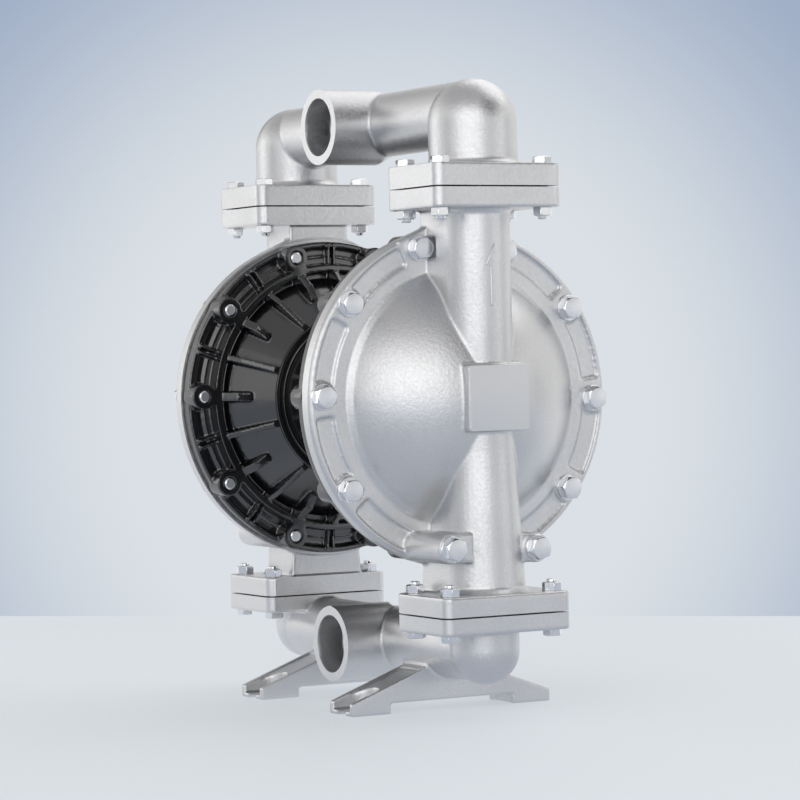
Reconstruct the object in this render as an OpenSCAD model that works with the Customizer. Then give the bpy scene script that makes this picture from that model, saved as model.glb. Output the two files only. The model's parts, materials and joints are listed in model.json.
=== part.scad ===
// Air-driven double diaphragm pump: two domed chambers on one shaft,
// an inlet manifold on feet, an outlet manifold above, and ball valves between.
// X runs along the shaft, both ports face -Y, and the feet stand on z = 0.

/* [Pump body] */
// Outer radius of a fluid cover
cover_r = 130; // [122:0.5:145]
// Distance from a cover's edge in to the circle of cover bolts
bolt_edge = 11; // [10.5:0.25:12]
// Turn of the bolt circle about the shaft, in degrees
bolt_clock = -1.7; // [-3:0.1:1]
// Distance from the middle of the pump to the back face of each fluid cover
joint_x = 107.3; // [104:0.1:116]
// Thickness of the diaphragm edge between the covers
diaphragm_edge_t = 1.6; // [1:0.1:2.5]

/* [Fluid covers] */
// Thickness of the bolted rim
rim_t = 12; // [10:0.5:14]
// Distance from a cover's edge in to the foot of its dome
dome_edge = 32.7; // [31:0.1:36]
// Height of the dome above the rim face
dome_rise = 53.7; // [51:0.5:58]
// Wall thickness of the dome
cover_wall = 6; // [5:0.25:7]
// Distance from a cover's back face out to the axis of its neck
neck_out = 39.4; // [37:0.1:42]
// Radius of the front of the upper neck
neck_r = 26.5; // [25.5:0.25:28]
// Radius of the lower neck where it meets its flange
neck_foot_r = 32.3; // [31:0.25:34]
// Radius of the passage through the necks
passage_r = 20; // [17:0.25:20.5]
// Width of the plain square pad on the dome
pad_w = 52; // [44:1:56]
// Height of the plain square pad on the dome
pad_h = 50; // [44:1:56]
// Height of the pad above the top of the dome
pad_rise = 4; // [2:0.25:8]
// Length of the two long bolt bosses in front of the rim
long_boss_l = 51.8; // [40:0.5:54]
// Radius of the long bolt bosses
long_boss_r = 11.3; // [10.5:0.1:12.5]
// Depth of the arc pockets between the bolts
pocket_depth = 2.5; // [1:0.25:4]
// Width of the arc pockets between the bolts
pocket_w = 15.5; // [12:0.5:16.5]
// Distance from the bolt circle in to the middle of the arc pockets
pocket_in = 1.3; // [0.5:0.1:2]

/* [Flanges] */
// Width of a flange along the shaft
flange_w = 78; // [74:0.5:78.5]
// Length of a flange across the shaft
flange_l = 110; // [106:0.5:118]
// Corner radius of the flanges
flange_corner_r = 7.5; // [4:0.5:9]
// Thickness of the flanges on the fluid covers
cover_flange_t = 15.2; // [14:0.2:18]
// Thickness of the flanges on the outlet manifold
outlet_flange_t = 17.5; // [14:0.5:20]
// Thickness of the flanges on the inlet manifold
inlet_flange_t = 13.2; // [13:0.1:16]
// Distance from a cover's edge up to the upper flange joint
top_joint_rise = 27.7; // [26:0.1:36]
// Distance from a cover's edge down to the lower flange joint
low_joint_drop = 32.3; // [30:0.1:40]
// Gap that the valve seats keep between two flanges
flange_gap = 0.6; // [0.3:0.1:0.9]
// Spacing of the flange bolts along the shaft
flange_bolt_dx = 53; // [51:0.25:57]
// Spacing of the flange bolts across the shaft
flange_bolt_dy = 88.6; // [86:0.2:93]

/* [Manifolds] */
// Diameter of the bore of the G 1 1/2 port threads
port_bore_d = 44.85; // [42:0.05:46]
// Outer diameter of the ports
port_d = 59.3; // [56:0.1:62]
// Distance from the middle of the pump to the port faces
port_reach = 55.2; // [50:0.2:62]
// Depth of the port threads
port_thread_l = 24; // [16:0.5:26]
// Outer radius of the pipe run between the chambers
run_r = 25; // [24.5:0.25:27]
// Height of the outlet port above the upper flange joint
outlet_port_rise = 56.6; // [55:0.1:62]
// Height of the outlet pipe run above the upper flange joint
outlet_run_rise = 58; // [55:0.1:63]
// Outer radius of the outlet elbows
outlet_leg_r = 33.8; // [32.5:0.1:35]
// Wall thickness of the outlet elbows
leg_wall = 5; // [4:0.25:6]
// Depth of the inlet port below the lower flange joint
inlet_port_drop = 30.9; // [28:0.1:33]
// Depth of the inlet pipe run below the lower flange joint
inlet_run_drop = 28.7; // [26:0.1:31]
// Height of the inlet pipe run above the floor
inlet_run_z = 49.4; // [47:0.1:60]
// Outer radius of the inlet elbows
inlet_elbow_r = 26.5; // [26:0.25:28]

/* [Feet] */
// Distance from the middle of the pump to the middle of each foot bar
foot_x = 77.1; // [72:0.5:80]
// Width of a foot bar
foot_w = 37.4; // [34:0.2:40]
// Half length of a foot bar
foot_reach = 88; // [84:1:100]
// Length of the sole under each toe
sole_l = 33.8; // [32:0.2:36]
// Height of the arch between the soles
arch_h = 8; // [5:0.5:10]
// Height of a toe at its end
toe_h = 9.4; // [8:0.2:12]
// Height of an arm where it meets the pipe run
arm_h = 33.5; // [30:0.5:36]
// Distance from the middle of the pump to the top of an arm
arm_y = 22.8; // [20:0.2:24]
// Width of the pocket in a toe
toe_pocket_w = 27; // [24:0.5:29]
// Length of the pocket in a toe
toe_pocket_l = 31; // [26:1:34]
// Thickness of the floor of the pocket
toe_floor_t = 3.5; // [3:0.25:5]
// Depth of the channel along the top of an arm
arm_channel_d = 2; // [1:0.25:3]
// Width of the lips beside the channel
arm_lip = 3; // [2:0.25:5]
// Depth of the recess in the inner face of a sole
sole_recess_d = 2.4; // [1:0.2:2.6]
// Width of the open bolt slot in a toe
slot_w = 13; // [10:0.5:14]
// Length of the open bolt slot in a toe
slot_l = 19; // [14:1:22]

/* [Air covers] */
// Distance from a fluid cover's edge in to an air cover's edge
air_cover_edge = 2; // [1:0.1:2.5]
// Depth of the outer lip of an air cover
lip_depth = 9.2; // [8:0.2:10.5]
// Thickness of the flange behind the lip
air_flange_t = 6; // [5:0.25:7]
// Height of the bosses and the ring rib behind an air cover's joint face
boss_h = 19.7; // [18:0.1:21.5]
// Radius of the bosses around the bolts
boss_r = 10.5; // [10:0.25:10.75]
// Distance from the bolt circle in to the outside of the ring rib
ring_rib_in = 10; // [9:0.25:11]
// Thickness of the ring rib
ring_rib_t = 5.5; // [4:0.25:6]
// Distance from the ring rib in to the start of the cone
cone_in = 14; // [13:0.25:15]
// Distance from the joint face back to the start of the cone
cone_set_back = 14.7; // [13:0.1:16]
// Radius of the neck at the small end of the cone
air_neck_r = 60; // [59:0.25:62]
// Distance from the middle of the pump to the end of the neck
air_neck_x = 36; // [34:0.5:38]
// Wall thickness of an air cover
air_wall = 6; // [5:0.25:6.5]
// Distance from the middle of the pump to the floor of the air chamber
air_floor_x = 66; // [64:0.5:67]
// Thickness of the long ribs on the cone
rib_t = 4.8; // [3:0.2:6]
// Thickness of the short ribs on the cone, which end round
short_rib_t = 7.2; // [5:0.2:9]
// Radius where the short ribs end
short_rib_r = 71; // [66:0.5:78]
// Height of a short rib above the cone at its round end
short_rib_h = 5; // [3:0.25:7]

/* [Diaphragms and shaft] */
// Travel of the shaft to each side
stroke = 20; // [16:0.5:20.5]
// Radius of the shaft
shaft_r = 11; // [10:0.5:12]
// Radius of the clamp plates
plate_r = 62; // [58:0.5:62]
// Thickness of the inner clamp plate
inner_plate_t = 8; // [6:0.5:8.5]
// Thickness of the outer clamp plate
outer_plate_t = 10; // [8:0.5:11]
// Thickness of the rubber
rubber_t = 3.2; // [2.6:0.1:4]
// Distance from the bolt circle in to the bead at the edge of the rubber
bead_in = 16; // [15:0.25:17]
// Radius of the stud on the outer clamp plate
stud_r = 7; // [6:0.25:7.5]
// Radius of the pilot rod
pilot_r = 4; // [3.5:0.25:4.5]
// Height of the pilot rod above the shaft axis
pilot_h = 34; // [32:0.5:36]
// Travel of the pilot rod to each side
pilot_stroke = 4; // [3:0.25:5]

/* [Ball valves] */
// Radius of the valve balls
ball_r = 21; // [20.5:0.1:21.4]
// Lift of the valve balls
ball_lift = 12; // [9:0.5:12.5]
// Outer radius of the valve seats
seat_r = 27; // [26.5:0.1:27.5]
// Depth of the pocket that holds a seat
seat_pocket_d = 9; // [8.5:0.1:9.5]
// Radius of the bore through a seat
seat_bore_r = 17.2; // [16:0.1:17.4]
// Radius of the circle where a ball meets its seat
seat_contact_r = 18.5; // [18.2:0.1:18.8]
// Radius of the space around a ball in a fluid cover
ball_room_r = 25.5; // [25.2:0.1:26]

/* [Air valve] */
// Half length of the air valve body along the shaft
valve_half_l = 38; // [36:0.5:39]
// Half height of the air valve body
valve_half_h = 29; // [27:0.5:32]
// Distance from the shaft axis to the back of the air valve body
valve_back_y = 110; // [108:0.5:114]
// Distance from the shaft axis to the mounting face of the centre body
mount_y = 64; // [62:0.5:66]
// Distance from the shaft axis to the spool
spool_y = 88; // [87:0.5:89]
// Radius of the spool
spool_r = 12; // [10:0.5:13]
// Travel of the spool to each side
spool_stroke = 8; // [6:0.5:9]
// Radius of the bore of the G 1/2 thread of the air inlet
air_bore_r = 9.3; // [8.5:0.1:9.8]
// Radius of the bore of the G 3/4 thread of the exhaust
exhaust_bore_r = 12; // [11:0.1:13]
// Depth of the threads of the air inlet and the exhaust
air_thread_l = 14; // [11.5:0.5:15]
// Radius of the muffler
muffler_r = 18; // [15:0.5:20]
// Length of the muffler body
muffler_l = 62; // [45:1:75]

/* [Fasteners] */
// Radius of the cover bolts, M10
bolt_r = 5; // [4:0.25:5]
// Width across the flats of the cover bolts
bolt_af = 16; // [14:0.5:17]
// Radius of the washers
washer_r = 10; // [9.5:0.25:10.5]
// Thickness of the washers
washer_t = 2; // [1:0.25:2.5]
// Length of the thread ends beyond the bosses
thread_proud = 1; // [0.5:0.25:4]
// Radius of the flange bolts, M8
flange_bolt_r = 4; // [3:0.25:4.25]
// Width across the flats of the flange bolts
flange_bolt_af = 13; // [11:0.5:14]

/* [Hidden] */
$fn = 96;

// Overshoot that lets a cut pass clear of a face
eps = 1;
// Radial room around a bolt in its hole
bolt_room = 0.5;
// Radial running clearance of the rods and the spool
run_fit = 0.05;

// Bolt circle, with the two long bolts at the bottom
bolt_count = 10;
bolt_step = 360 / bolt_count;
long_bolts = [7, 8];
short_bolts = [0, 1, 2, 3, 4, 5, 6, 9];
neck_gaps = [2, 7];
function is_long(i) = len(search(i, long_bolts)) > 0;

// Circles about the shaft
bolt_circle_r = cover_r - bolt_edge;
bead_ring_r = bolt_circle_r - bead_in;
air_cover_r = cover_r - air_cover_edge;
ring_rib_r = bolt_circle_r - ring_rib_in;
cone_r = ring_rib_r - cone_in;
foot_r = cover_r - dome_edge;

// Heights above and below the shaft
top_joint_h = cover_r + top_joint_rise;
low_joint_h = cover_r + low_joint_drop;
outlet_run_h = top_joint_h + outlet_run_rise;
outlet_port_h = top_joint_h + outlet_port_rise;
inlet_run_h = low_joint_h + inlet_run_drop;
inlet_port_h = low_joint_h + inlet_port_drop;
axis_z = inlet_run_z + inlet_run_h;

// Planes along the shaft, and the sphere of the dome
rim_x = joint_x + rim_t;
apex_x = rim_x + dome_rise;
dome_r = (foot_r * foot_r + dome_rise * dome_rise) / (2 * dome_rise);
dome_c = apex_x - dome_r;
cavity_r = dome_r - cover_wall;
neck_x = joint_x + neck_out;
chamber_flat_r = 11;
rim_chamfer = 2.5;
foot_fillet = 3;
collar_w = 4;
// Points beside the neck where the rim rises to meet it
lug_rise = 3.2;
lug_r = cover_r + lug_rise;
// Turn of a pocket's two ends from the bolts before and after it, in degrees
pocket_start = 7.4;
pocket_end = 2.6;
pocket_corner_r = 3;
pocket_island_r = washer_r + 1.2;
pad_root = 14;
pad_x = apex_x + pad_rise;
neck_back_x = joint_x + 2;
air_face_x = joint_x - diaphragm_edge_t;
web_x = joint_x - diaphragm_edge_t / 2;
lip_x = air_face_x - lip_depth;
air_flange_x = air_face_x - air_flange_t;
boss_face_x = air_face_x - boss_h;
thread_end_x = boss_face_x - thread_proud;
long_boss_x = rim_x + long_boss_l;

// Recess in the neck's sides for the two bolts beside it
neck_bolts = [2, 3];
spot_room = 0.8;
spot_l = 13;

// Web between a long boss and the neck
web_l = 18;
web_half_h = long_boss_r - 0.5;
web_short = 1.2;

// Upper and lower parts of the necks
flare_h = 40;
top_under_h = top_joint_h - cover_flange_t;
low_over_h = low_joint_h - cover_flange_t;
port_bore_r = port_bore_d / 2;
port_r = port_d / 2;
// Height of the outlet elbows above the top of the run
elbow_rise = 0.4;
// Extra room in the bend of an inlet elbow
elbow_room = 1.5;

// Ball valves: the seat cone is tangent to the ball
seat_h = seat_pocket_d + flange_gap;
contact_depth = 2.2;
contact_drop = sqrt(ball_r * ball_r - seat_contact_r * seat_contact_r);
seat_slope = seat_contact_r / contact_drop;
seat_mouth_r = seat_contact_r + contact_depth / seat_slope;
cone_depth = contact_depth + (seat_contact_r - seat_bore_r) * seat_slope;
ball_gap = 0.3;
ball_rest_h = contact_drop - contact_depth + ball_gap;
guide_r = ball_r + 0.8;
guide_t = 5;
guide_start = 3;
stop_r = 7;
stop_gap = 0.5;
stop_h = ball_rest_h + ball_lift + sqrt(ball_r * ball_r - stop_r * stop_r) + stop_gap;
stop_t = 6;
seat_fit = 0.1;
ring_section = 1.35;
groove_z = 2;
groove_w = 2 * ring_section + 0.6;
groove_r = seat_r + seat_fit - 2 * ring_section;

// Diaphragm clamp along the shaft
rubber_in_x = web_x - rubber_t / 2;
rubber_out_x = web_x + rubber_t / 2;
inner_plate_x = rubber_in_x - inner_plate_t;
outer_plate_x = rubber_out_x + outer_plate_t;
bead_r = 2.6;
stud_l = 22;
bush_r = shaft_r + 5;
bush_start_x = 30;

// Centre body
spigot_x = air_floor_x - air_wall;
spigot_r = air_neck_r - 7.5;
collar_r = air_neck_r - 2;
mount_half_l = 34;
mount_half_h = 34;
pilot_end_x = inner_plate_x - stroke + pilot_stroke - 0.4;
gasket_t = 1.5;
valve_face_y = mount_y + gasket_t;
cap_t = 6;
screw_r = 3;
cap_screw_r = 2;
centre_screw_r = 4;
centre_screw_circle = 40;
valve_screw_x = 30;
valve_screw_h = 21;
cap_half_w = 16;
cap_screw_c = 12.5;
cap_half_h = 17;
air_passage_r = 4;
air_feed_r = 6.5;
exhaust_feed_r = 8;
air_passage_x = 16;
passage_y = 33;
spool_half_l = valve_half_l - spool_stroke - 2;

// Inserts in the air cover's bosses, and the nuts under the flanges
insert_r = bolt_r + 2;
insert_x0 = boss_face_x + 3;
insert_x1 = air_face_x - 3;
nut_h = flange_bolt_af * 0.5;
thread_out = nut_h + 2.5;

// Height of a head as a share of its width across the flats
function head_h(af) = af * 0.4;
// Radius of the corners of a hexagon from its width across the flats
function hex_r(af) = af / sqrt(3);
// Distance along the shaft of the outside of the air cover's cone at radius r
function cone_x(r) = air_neck_x
    + (r - air_neck_r) * (air_face_x - cone_set_back - air_neck_x) / (cone_r - air_neck_r);
// The same for the inside of the cone
cone_len = sqrt(pow(cone_r - air_neck_r, 2) + pow(cone_x(cone_r) - air_neck_x, 2));
cone_skin = air_wall * cone_len / (cone_x(cone_r) - air_neck_x);
function inside_r(x) = air_neck_r - cone_skin
    + (x - air_neck_x) * (cone_r - air_neck_r) / (cone_x(cone_r) - air_neck_x);

// Lifts a shape drawn about the shaft axis to its height above the floor
module on_axis() {
    translate([0, 0, axis_z]) children();
}

// Draws the right-hand shape, or its mirror image on the left
module on_side(side) {
    mirror([side < 0 ? 1 : 0, 0, 0]) children();
}

// Places a shape drawn for the right-hand side, about the shaft axis, on one side
module on_left() {
    on_axis() on_side(-1) children();
}
module on_right() {
    on_axis() on_side(1) children();
}

// Round bar along the shaft from x0 to x1
module x_bar(r, x0, x1, fn = 48) {
    translate([x0, 0, 0]) rotate([0, 90, 0]) cylinder(r = r, h = x1 - x0, $fn = fn);
}

// Turned shape about the shaft from a profile of [radius, x] points
module x_turned(profile) {
    rotate([0, 90, 0]) rotate_extrude() polygon(profile);
}

// Places a shape on the bolt circle at step i
module at_bolt(i, r = bolt_circle_r) {
    rotate([i * bolt_step + bolt_clock, 0, 0]) translate([0, r, 0]) children();
}

// Rectangle with rounded corners, centred
module rounded_rect(w, l, r) {
    square([w - 2 * r, l], center = true);
    square([w, l - 2 * r], center = true);
    for (sx = [-1, 1]) {
        for (sy = [-1, 1]) {
            translate([sx * (w / 2 - r), sy * (l / 2 - r)]) circle(r = r, $fn = 32);
        }
    }
}

// Rounded flange plate on the neck axis between two heights
module flange(z0, z1) {
    translate([neck_x, 0, z0])
        linear_extrude(z1 - z0) rounded_rect(flange_w, flange_l, flange_corner_r);
}

// Places a shape at each of the four bolts of a flange
module at_flange_bolts() {
    for (sx = [-1, 1]) {
        for (sy = [-1, 1]) {
            translate([neck_x + sx * flange_bolt_dx / 2, sy * flange_bolt_dy / 2, 0]) children();
        }
    }
}

// Hexagon head or nut of width af, with its corners turned off at the far face
module hex_head(af, h) {
    intersection() {
        cylinder(r = hex_r(af), h = h, $fn = 6);
        union() {
            cylinder(r = hex_r(af) + 0.1, h = h * 0.75, $fn = 48);
            translate([0, 0, h * 0.75])
                cylinder(r1 = hex_r(af) + 0.1, r2 = af * 0.47, h = h * 0.25, $fn = 48);
        }
    }
}

// Four ribs that guide a ball, and their stops, above a seat's top face
module ball_guides(room_r) {
    for (a = [45, 135, 225, 315]) {
        rotate([0, 0, a]) {
            translate([guide_r, -guide_t / 2, guide_start])
                cube([room_r - guide_r + eps, guide_t, stop_h + stop_t - guide_start]);
            translate([stop_r, -guide_t / 2, stop_h])
                cube([room_r - stop_r + eps, guide_t, stop_t]);
        }
    }
}

// Outside of the vertical passage of a fluid cover
module neck_outside() {
    translate([neck_x, 0, 0]) {
        cylinder(r = neck_r, h = top_under_h + eps);
        translate([0, 0, -flare_h]) cylinder(r = neck_r, h = flare_h + eps);
        translate([0, 0, -low_over_h - eps])
            cylinder(r1 = neck_foot_r, r2 = neck_r, h = low_over_h + eps - flare_h);
        // Collars where the neck meets its flanges
        translate([0, 0, top_under_h - collar_w])
            cylinder(r1 = neck_r - 1, r2 = neck_r + collar_w, h = collar_w);
        translate([0, 0, -low_over_h])
            cylinder(r1 = neck_foot_r + collar_w, r2 = neck_foot_r - 1.5, h = collar_w + 1);
    }
    // Flat sides that run back to the rim
    translate([neck_back_x, 0, 0]) rotate([90, 0, 90]) linear_extrude(neck_x - neck_back_x)
        polygon([
            [-neck_foot_r, -low_over_h - eps], [neck_foot_r, -low_over_h - eps],
            [neck_r, -flare_h], [neck_r, top_under_h + eps],
            [-neck_r, top_under_h + eps], [-neck_r, -flare_h]
        ]);
}

// Sector of a ring about the shaft between two angles, w wide about the radius r, and h high
module ring_sector(a0, a1, r, w, h) {
    rotate([a0, 0, 0]) rotate([90, 0, 90])
        rotate_extrude(angle = a1 - a0) translate([r - w / 2, 0]) square([w, h]);
}

// Arc pocket in the rim after a bolt on the +Y axis, cut round the boss of the next bolt
module rim_pocket() {
    r_mid = bolt_circle_r - pocket_in;
    a1 = bolt_step - pocket_end;
    corner_a = pocket_corner_r / r_mid * 180 / PI;
    h = pocket_depth + foot_fillet;
    difference() {
        union() {
            ring_sector(pocket_start + corner_a, a1, r_mid, pocket_w, h);
            ring_sector(pocket_start, a1 - corner_a, r_mid, pocket_w - 2 * pocket_corner_r, h);
            for (s = [-1, 1]) {
                rotate([pocket_start + corner_a, 0, 0])
                    translate([0, r_mid + s * (pocket_w / 2 - pocket_corner_r), 0])
                        x_bar(pocket_corner_r, 0, h, 32);
            }
        }
        rotate([bolt_step, 0, 0]) translate([0, bolt_circle_r, 0]) x_bar(pocket_island_r, -eps, h + eps);
    }
}

// Point of the rim that rises beside the neck, on the +Y side
module rim_lug() {
    tip_y = neck_r - 0.5;
    tip_z = sqrt(lug_r * lug_r - tip_y * tip_y);
    tangent_a = atan2(tip_z, tip_y) - acos(cover_r / lug_r);
    translate([neck_back_x, 0, 0]) rotate([90, 0, 90]) linear_extrude(rim_x - neck_back_x)
        polygon([
            [tip_y, tip_z], [0, tip_z - lug_rise], [0, cover_r - 3 * lug_rise],
            [cover_r * cos(tangent_a), cover_r * sin(tangent_a)]
        ]);
}

// Part of a sphere about the middle of the dome, beyond the plane x0
module dome(r, x0) {
    rotate([0, 90, 0]) rotate_extrude() translate([0, dome_c]) intersection() {
        circle(r = r, $fn = 128);
        translate([0, x0 - dome_c]) square([r, r]);
    }
}

// Fluid cover: rim, dome, neck with two flanges, pad and long bolt bosses
module fluid_cover() {
    color("silver") difference() {
        union() {
            x_turned([
                [0, joint_x], [cover_r, joint_x], [cover_r, rim_x - rim_chamfer],
                [cover_r - rim_chamfer, rim_x], [0, rim_x]
            ]);
            dome(dome_r, joint_x + eps);
            // Fillet at the foot of the dome
            x_turned([
                [foot_r - 2 * foot_fillet, rim_x - eps], [foot_r + foot_fillet, rim_x - eps],
                [foot_r + foot_fillet - eps, rim_x], [foot_r - foot_fillet / 2, rim_x + foot_fillet],
                [foot_r - 2 * foot_fillet, rim_x + foot_fillet]
            ]);
            difference() {
                neck_outside();
                for (i = neck_bolts) {
                    at_bolt(i) x_bar(washer_r + spot_room, neck_back_x - eps, rim_x + spot_l);
                }
            }
            for (s = [0, 1]) {
                mirror([0, s, 0]) rim_lug();
            }
            flange(top_under_h, top_joint_h);
            flange(-low_joint_h, -low_over_h);
            translate([apex_x - pad_root, -pad_w / 2, -pad_h / 2])
                cube([pad_x - apex_x + pad_root, pad_w, pad_h]);
            for (i = long_bolts) {
                at_bolt(i) x_bar(long_boss_r, joint_x + eps, long_boss_x);
                // Web that joins a boss to the neck
                at_bolt(i) rotate([-i * bolt_step - bolt_clock, 0, 0])
                    translate([joint_x + eps, i == long_bolts[0] ? 0 : -web_l, -web_half_h])
                        cube([long_boss_l + rim_t - web_short - eps, web_l, 2 * web_half_h]);
            }
        }
        // Fluid chamber, with a small flat in the middle of its roof
        dome(cavity_r, joint_x - eps);
        x_bar(chamber_flat_r, rim_x, apex_x - cover_wall + 0.6);
        // Passage through the neck, and the room around the inlet ball
        translate([neck_x, 0, -low_joint_h - eps])
            cylinder(r = passage_r, h = top_joint_h + low_joint_h + 2 * eps);
        difference() {
            translate([neck_x, 0, -low_joint_h - eps])
                cylinder(r = ball_room_r, h = stop_h + stop_t + eps);
            translate([neck_x, 0, -low_joint_h]) ball_guides(ball_room_r);
        }
        // Pocket of the outlet seat
        translate([neck_x, 0, top_joint_h - seat_pocket_d])
            cylinder(r = seat_r + seat_fit, h = seat_pocket_d + eps);
        // Groove for the bead of the diaphragm
        rotate([0, 90, 0]) rotate_extrude()
            translate([bead_ring_r, web_x]) circle(r = bead_r + 0.1, $fn = 32);
        for (i = short_bolts) {
            at_bolt(i) x_bar(bolt_r + bolt_room, joint_x - eps, rim_x + eps);
        }
        for (i = long_bolts) {
            at_bolt(i) x_bar(bolt_r + bolt_room, joint_x - eps, long_boss_x + eps);
        }
        for (i = [0:bolt_count - 1]) {
            if (len(search(i, neck_gaps)) == 0)
                at_bolt(i, 0) translate([rim_x - pocket_depth, 0, 0]) rim_pocket();
        }
        at_flange_bolts()
            translate([0, 0, -low_joint_h - eps])
                cylinder(r = flange_bolt_r + bolt_room, h = cover_flange_t + 2 * eps, $fn = 32);
        at_flange_bolts()
            translate([0, 0, top_under_h - eps])
                cylinder(r = flange_bolt_r + bolt_room, h = cover_flange_t + 2 * eps, $fn = 32);
    }
}

// Outlet manifold: two domed elbows, a pipe run and a port tee
module outlet_manifold() {
    flange_z = top_joint_h + flange_gap;
    dome_h = outlet_run_h + run_r + elbow_rise - outlet_leg_r;
    leg_collar_w = 2.5;
    leg_collar_h = 3;
    room_r = outlet_leg_r - leg_wall;
    color("silver") on_axis() difference() {
        union() {
            for (side = [-1, 1]) {
                on_side(side) {
                    flange(flange_z, flange_z + outlet_flange_t);
                    translate([neck_x, 0, flange_z + eps])
                        cylinder(r = outlet_leg_r, h = dome_h - flange_z - eps);
                    translate([neck_x, 0, dome_h]) sphere(r = outlet_leg_r);
                    translate([neck_x, 0, flange_z + outlet_flange_t])
                        cylinder(r1 = outlet_leg_r + leg_collar_w, r2 = outlet_leg_r, h = leg_collar_h);
                }
            }
            translate([0, 0, outlet_run_h]) x_bar(run_r, -neck_x, neck_x, 96);
            translate([0, 0, outlet_port_h]) port_barrel();
        }
        for (side = [-1, 1]) {
            on_side(side) {
                difference() {
                    translate([neck_x, 0, flange_z - eps]) {
                        cylinder(r = room_r, h = dome_h - flange_z + eps);
                        translate([0, 0, dome_h - flange_z + eps]) sphere(r = room_r);
                    }
                    translate([neck_x, 0, top_joint_h + flange_gap]) ball_guides(room_r);
                }
                at_flange_bolts() translate([0, 0, flange_z - eps])
                    cylinder(r = flange_bolt_r + bolt_room, h = outlet_flange_t + 2 * eps, $fn = 32);
            }
        }
        translate([0, 0, outlet_run_h]) x_bar(passage_r, -neck_x, neck_x, 96);
        translate([0, 0, outlet_port_h]) port_bore();
    }
}

// Outside of a port, with a shoulder that sinks into the run
module port_barrel() {
    shoulder_y = 4;
    root_y = 12;
    rotate([90, 0, 0]) {
        translate([0, 0, shoulder_y]) cylinder(r = port_r, h = port_reach - shoulder_y);
        translate([0, 0, -root_y]) cylinder(r1 = run_r - 4, r2 = port_r, h = root_y + shoulder_y);
    }
}

// Threaded mouth of a port and the bore behind it
module port_bore() {
    mouth = 1.5;
    translate([0, -port_reach - eps, 0]) rotate([-90, 0, 0])
        cylinder(r = port_bore_r, h = port_thread_l + eps);
    translate([0, -port_reach, 0]) rotate([-90, 0, 0]) cylinder(r = passage_r, h = port_reach);
    translate([0, -port_reach - eps, 0]) rotate([-90, 0, 0])
        cylinder(r1 = port_bore_r + mouth + eps, r2 = port_bore_r, h = mouth + eps);
}

// Inlet manifold: two flanges, bulbed elbows, a pipe run, a port tee and the feet
module inlet_manifold() {
    flange_z = -low_joint_h - flange_gap;
    color("silver") {
        on_axis() difference() {
            union() {
                for (side = [-1, 1]) {
                    on_side(side) {
                        flange(flange_z - inlet_flange_t, flange_z);
                        translate([neck_x, 0, -inlet_run_h])
                            cylinder(r = inlet_elbow_r, h = inlet_run_h + flange_z - eps);
                        translate([neck_x, 0, -inlet_run_h]) sphere(r = inlet_elbow_r);
                    }
                }
                translate([0, 0, -inlet_run_h]) x_bar(run_r, -neck_x, neck_x, 96);
                translate([0, 0, -inlet_port_h]) port_barrel();
                for (side = [-1, 1]) {
                    on_side(side) translate([0, 0, -axis_z]) foot_bar();
                }
            }
            for (side = [-1, 1]) {
                on_side(side) {
                    translate([neck_x, 0, -inlet_run_h])
                        cylinder(r = passage_r, h = inlet_run_h);
                    translate([neck_x, 0, -inlet_run_h]) sphere(r = passage_r + elbow_room);
                    translate([neck_x, 0, flange_z - seat_pocket_d])
                        cylinder(r = seat_r + seat_fit, h = seat_pocket_d + eps);
                    at_flange_bolts() translate([0, 0, flange_z - inlet_flange_t - eps])
                        cylinder(r = flange_bolt_r + bolt_room, h = inlet_flange_t + 2 * eps, $fn = 32);
                }
            }
            translate([0, 0, -inlet_run_h]) x_bar(passage_r, -neck_x, neck_x, 96);
            translate([0, 0, -inlet_port_h]) port_bore();
        }
    }
}

// One foot bar across the pump, with a channel, a pocket and an open slot in each arm
module foot_bar() {
    crown_in = 4;
    difference() {
        translate([foot_x - foot_w / 2, 0, 0]) rotate([90, 0, 90]) linear_extrude(foot_w)
            polygon([
                [-foot_reach, 0], [-foot_reach + sole_l, 0],
                [-foot_reach + sole_l, arch_h], [foot_reach - sole_l, arch_h],
                [foot_reach - sole_l, 0], [foot_reach, 0],
                [foot_reach, toe_h], [arm_y, arm_h],
                [arm_y - crown_in, inlet_run_z], [crown_in - arm_y, inlet_run_z],
                [-arm_y, arm_h], [-foot_reach, toe_h]
            ]);
        for (sy = [-1, 1]) {
            mirror([0, sy < 0 ? 1 : 0, 0]) {
                arm_channel();
                translate([foot_x, foot_reach, 0]) rotate([0, 0, 180]) {
                    open_slot(toe_pocket_w, toe_pocket_l, toe_floor_t, arm_h);
                    open_slot(slot_w, slot_l, -eps, arm_h);
                }
                // Recess in the inner face of the sole
                translate([foot_x - toe_pocket_w / 2, foot_reach - sole_l - eps, -eps])
                    cube([toe_pocket_w, sole_recess_d + eps, arch_h]);
            }
        }
    }
}

// Channel between two lips along the sloped top of the +Y arm
module arm_channel() {
    slope = (arm_h - toe_h) / (foot_reach - arm_y);
    start_y = arm_y + arm_lip;
    end_y = foot_reach - toe_pocket_l / 2;
    function floor_z(y) = arm_h - (y - arm_y) * slope - arm_channel_d;
    translate([foot_x - foot_w / 2 + arm_lip, 0, 0]) rotate([90, 0, 90])
        linear_extrude(foot_w - 2 * arm_lip)
            polygon([
                [start_y, floor_z(start_y)], [end_y, floor_z(end_y)],
                [end_y, floor_z(end_y) + 2 * arm_channel_d], [start_y, floor_z(start_y) + 2 * arm_channel_d]
            ]);
}

// Slot open to -Y, w wide and l long, with a round end, from z0 up
module open_slot(w, l, z0, z1) {
    translate([-w / 2, -eps, z0]) cube([w, l - w / 2 + eps, z1 - z0]);
    translate([0, l - w / 2, z0]) cylinder(r = w / 2, h = z1 - z0, $fn = 48);
}

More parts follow.
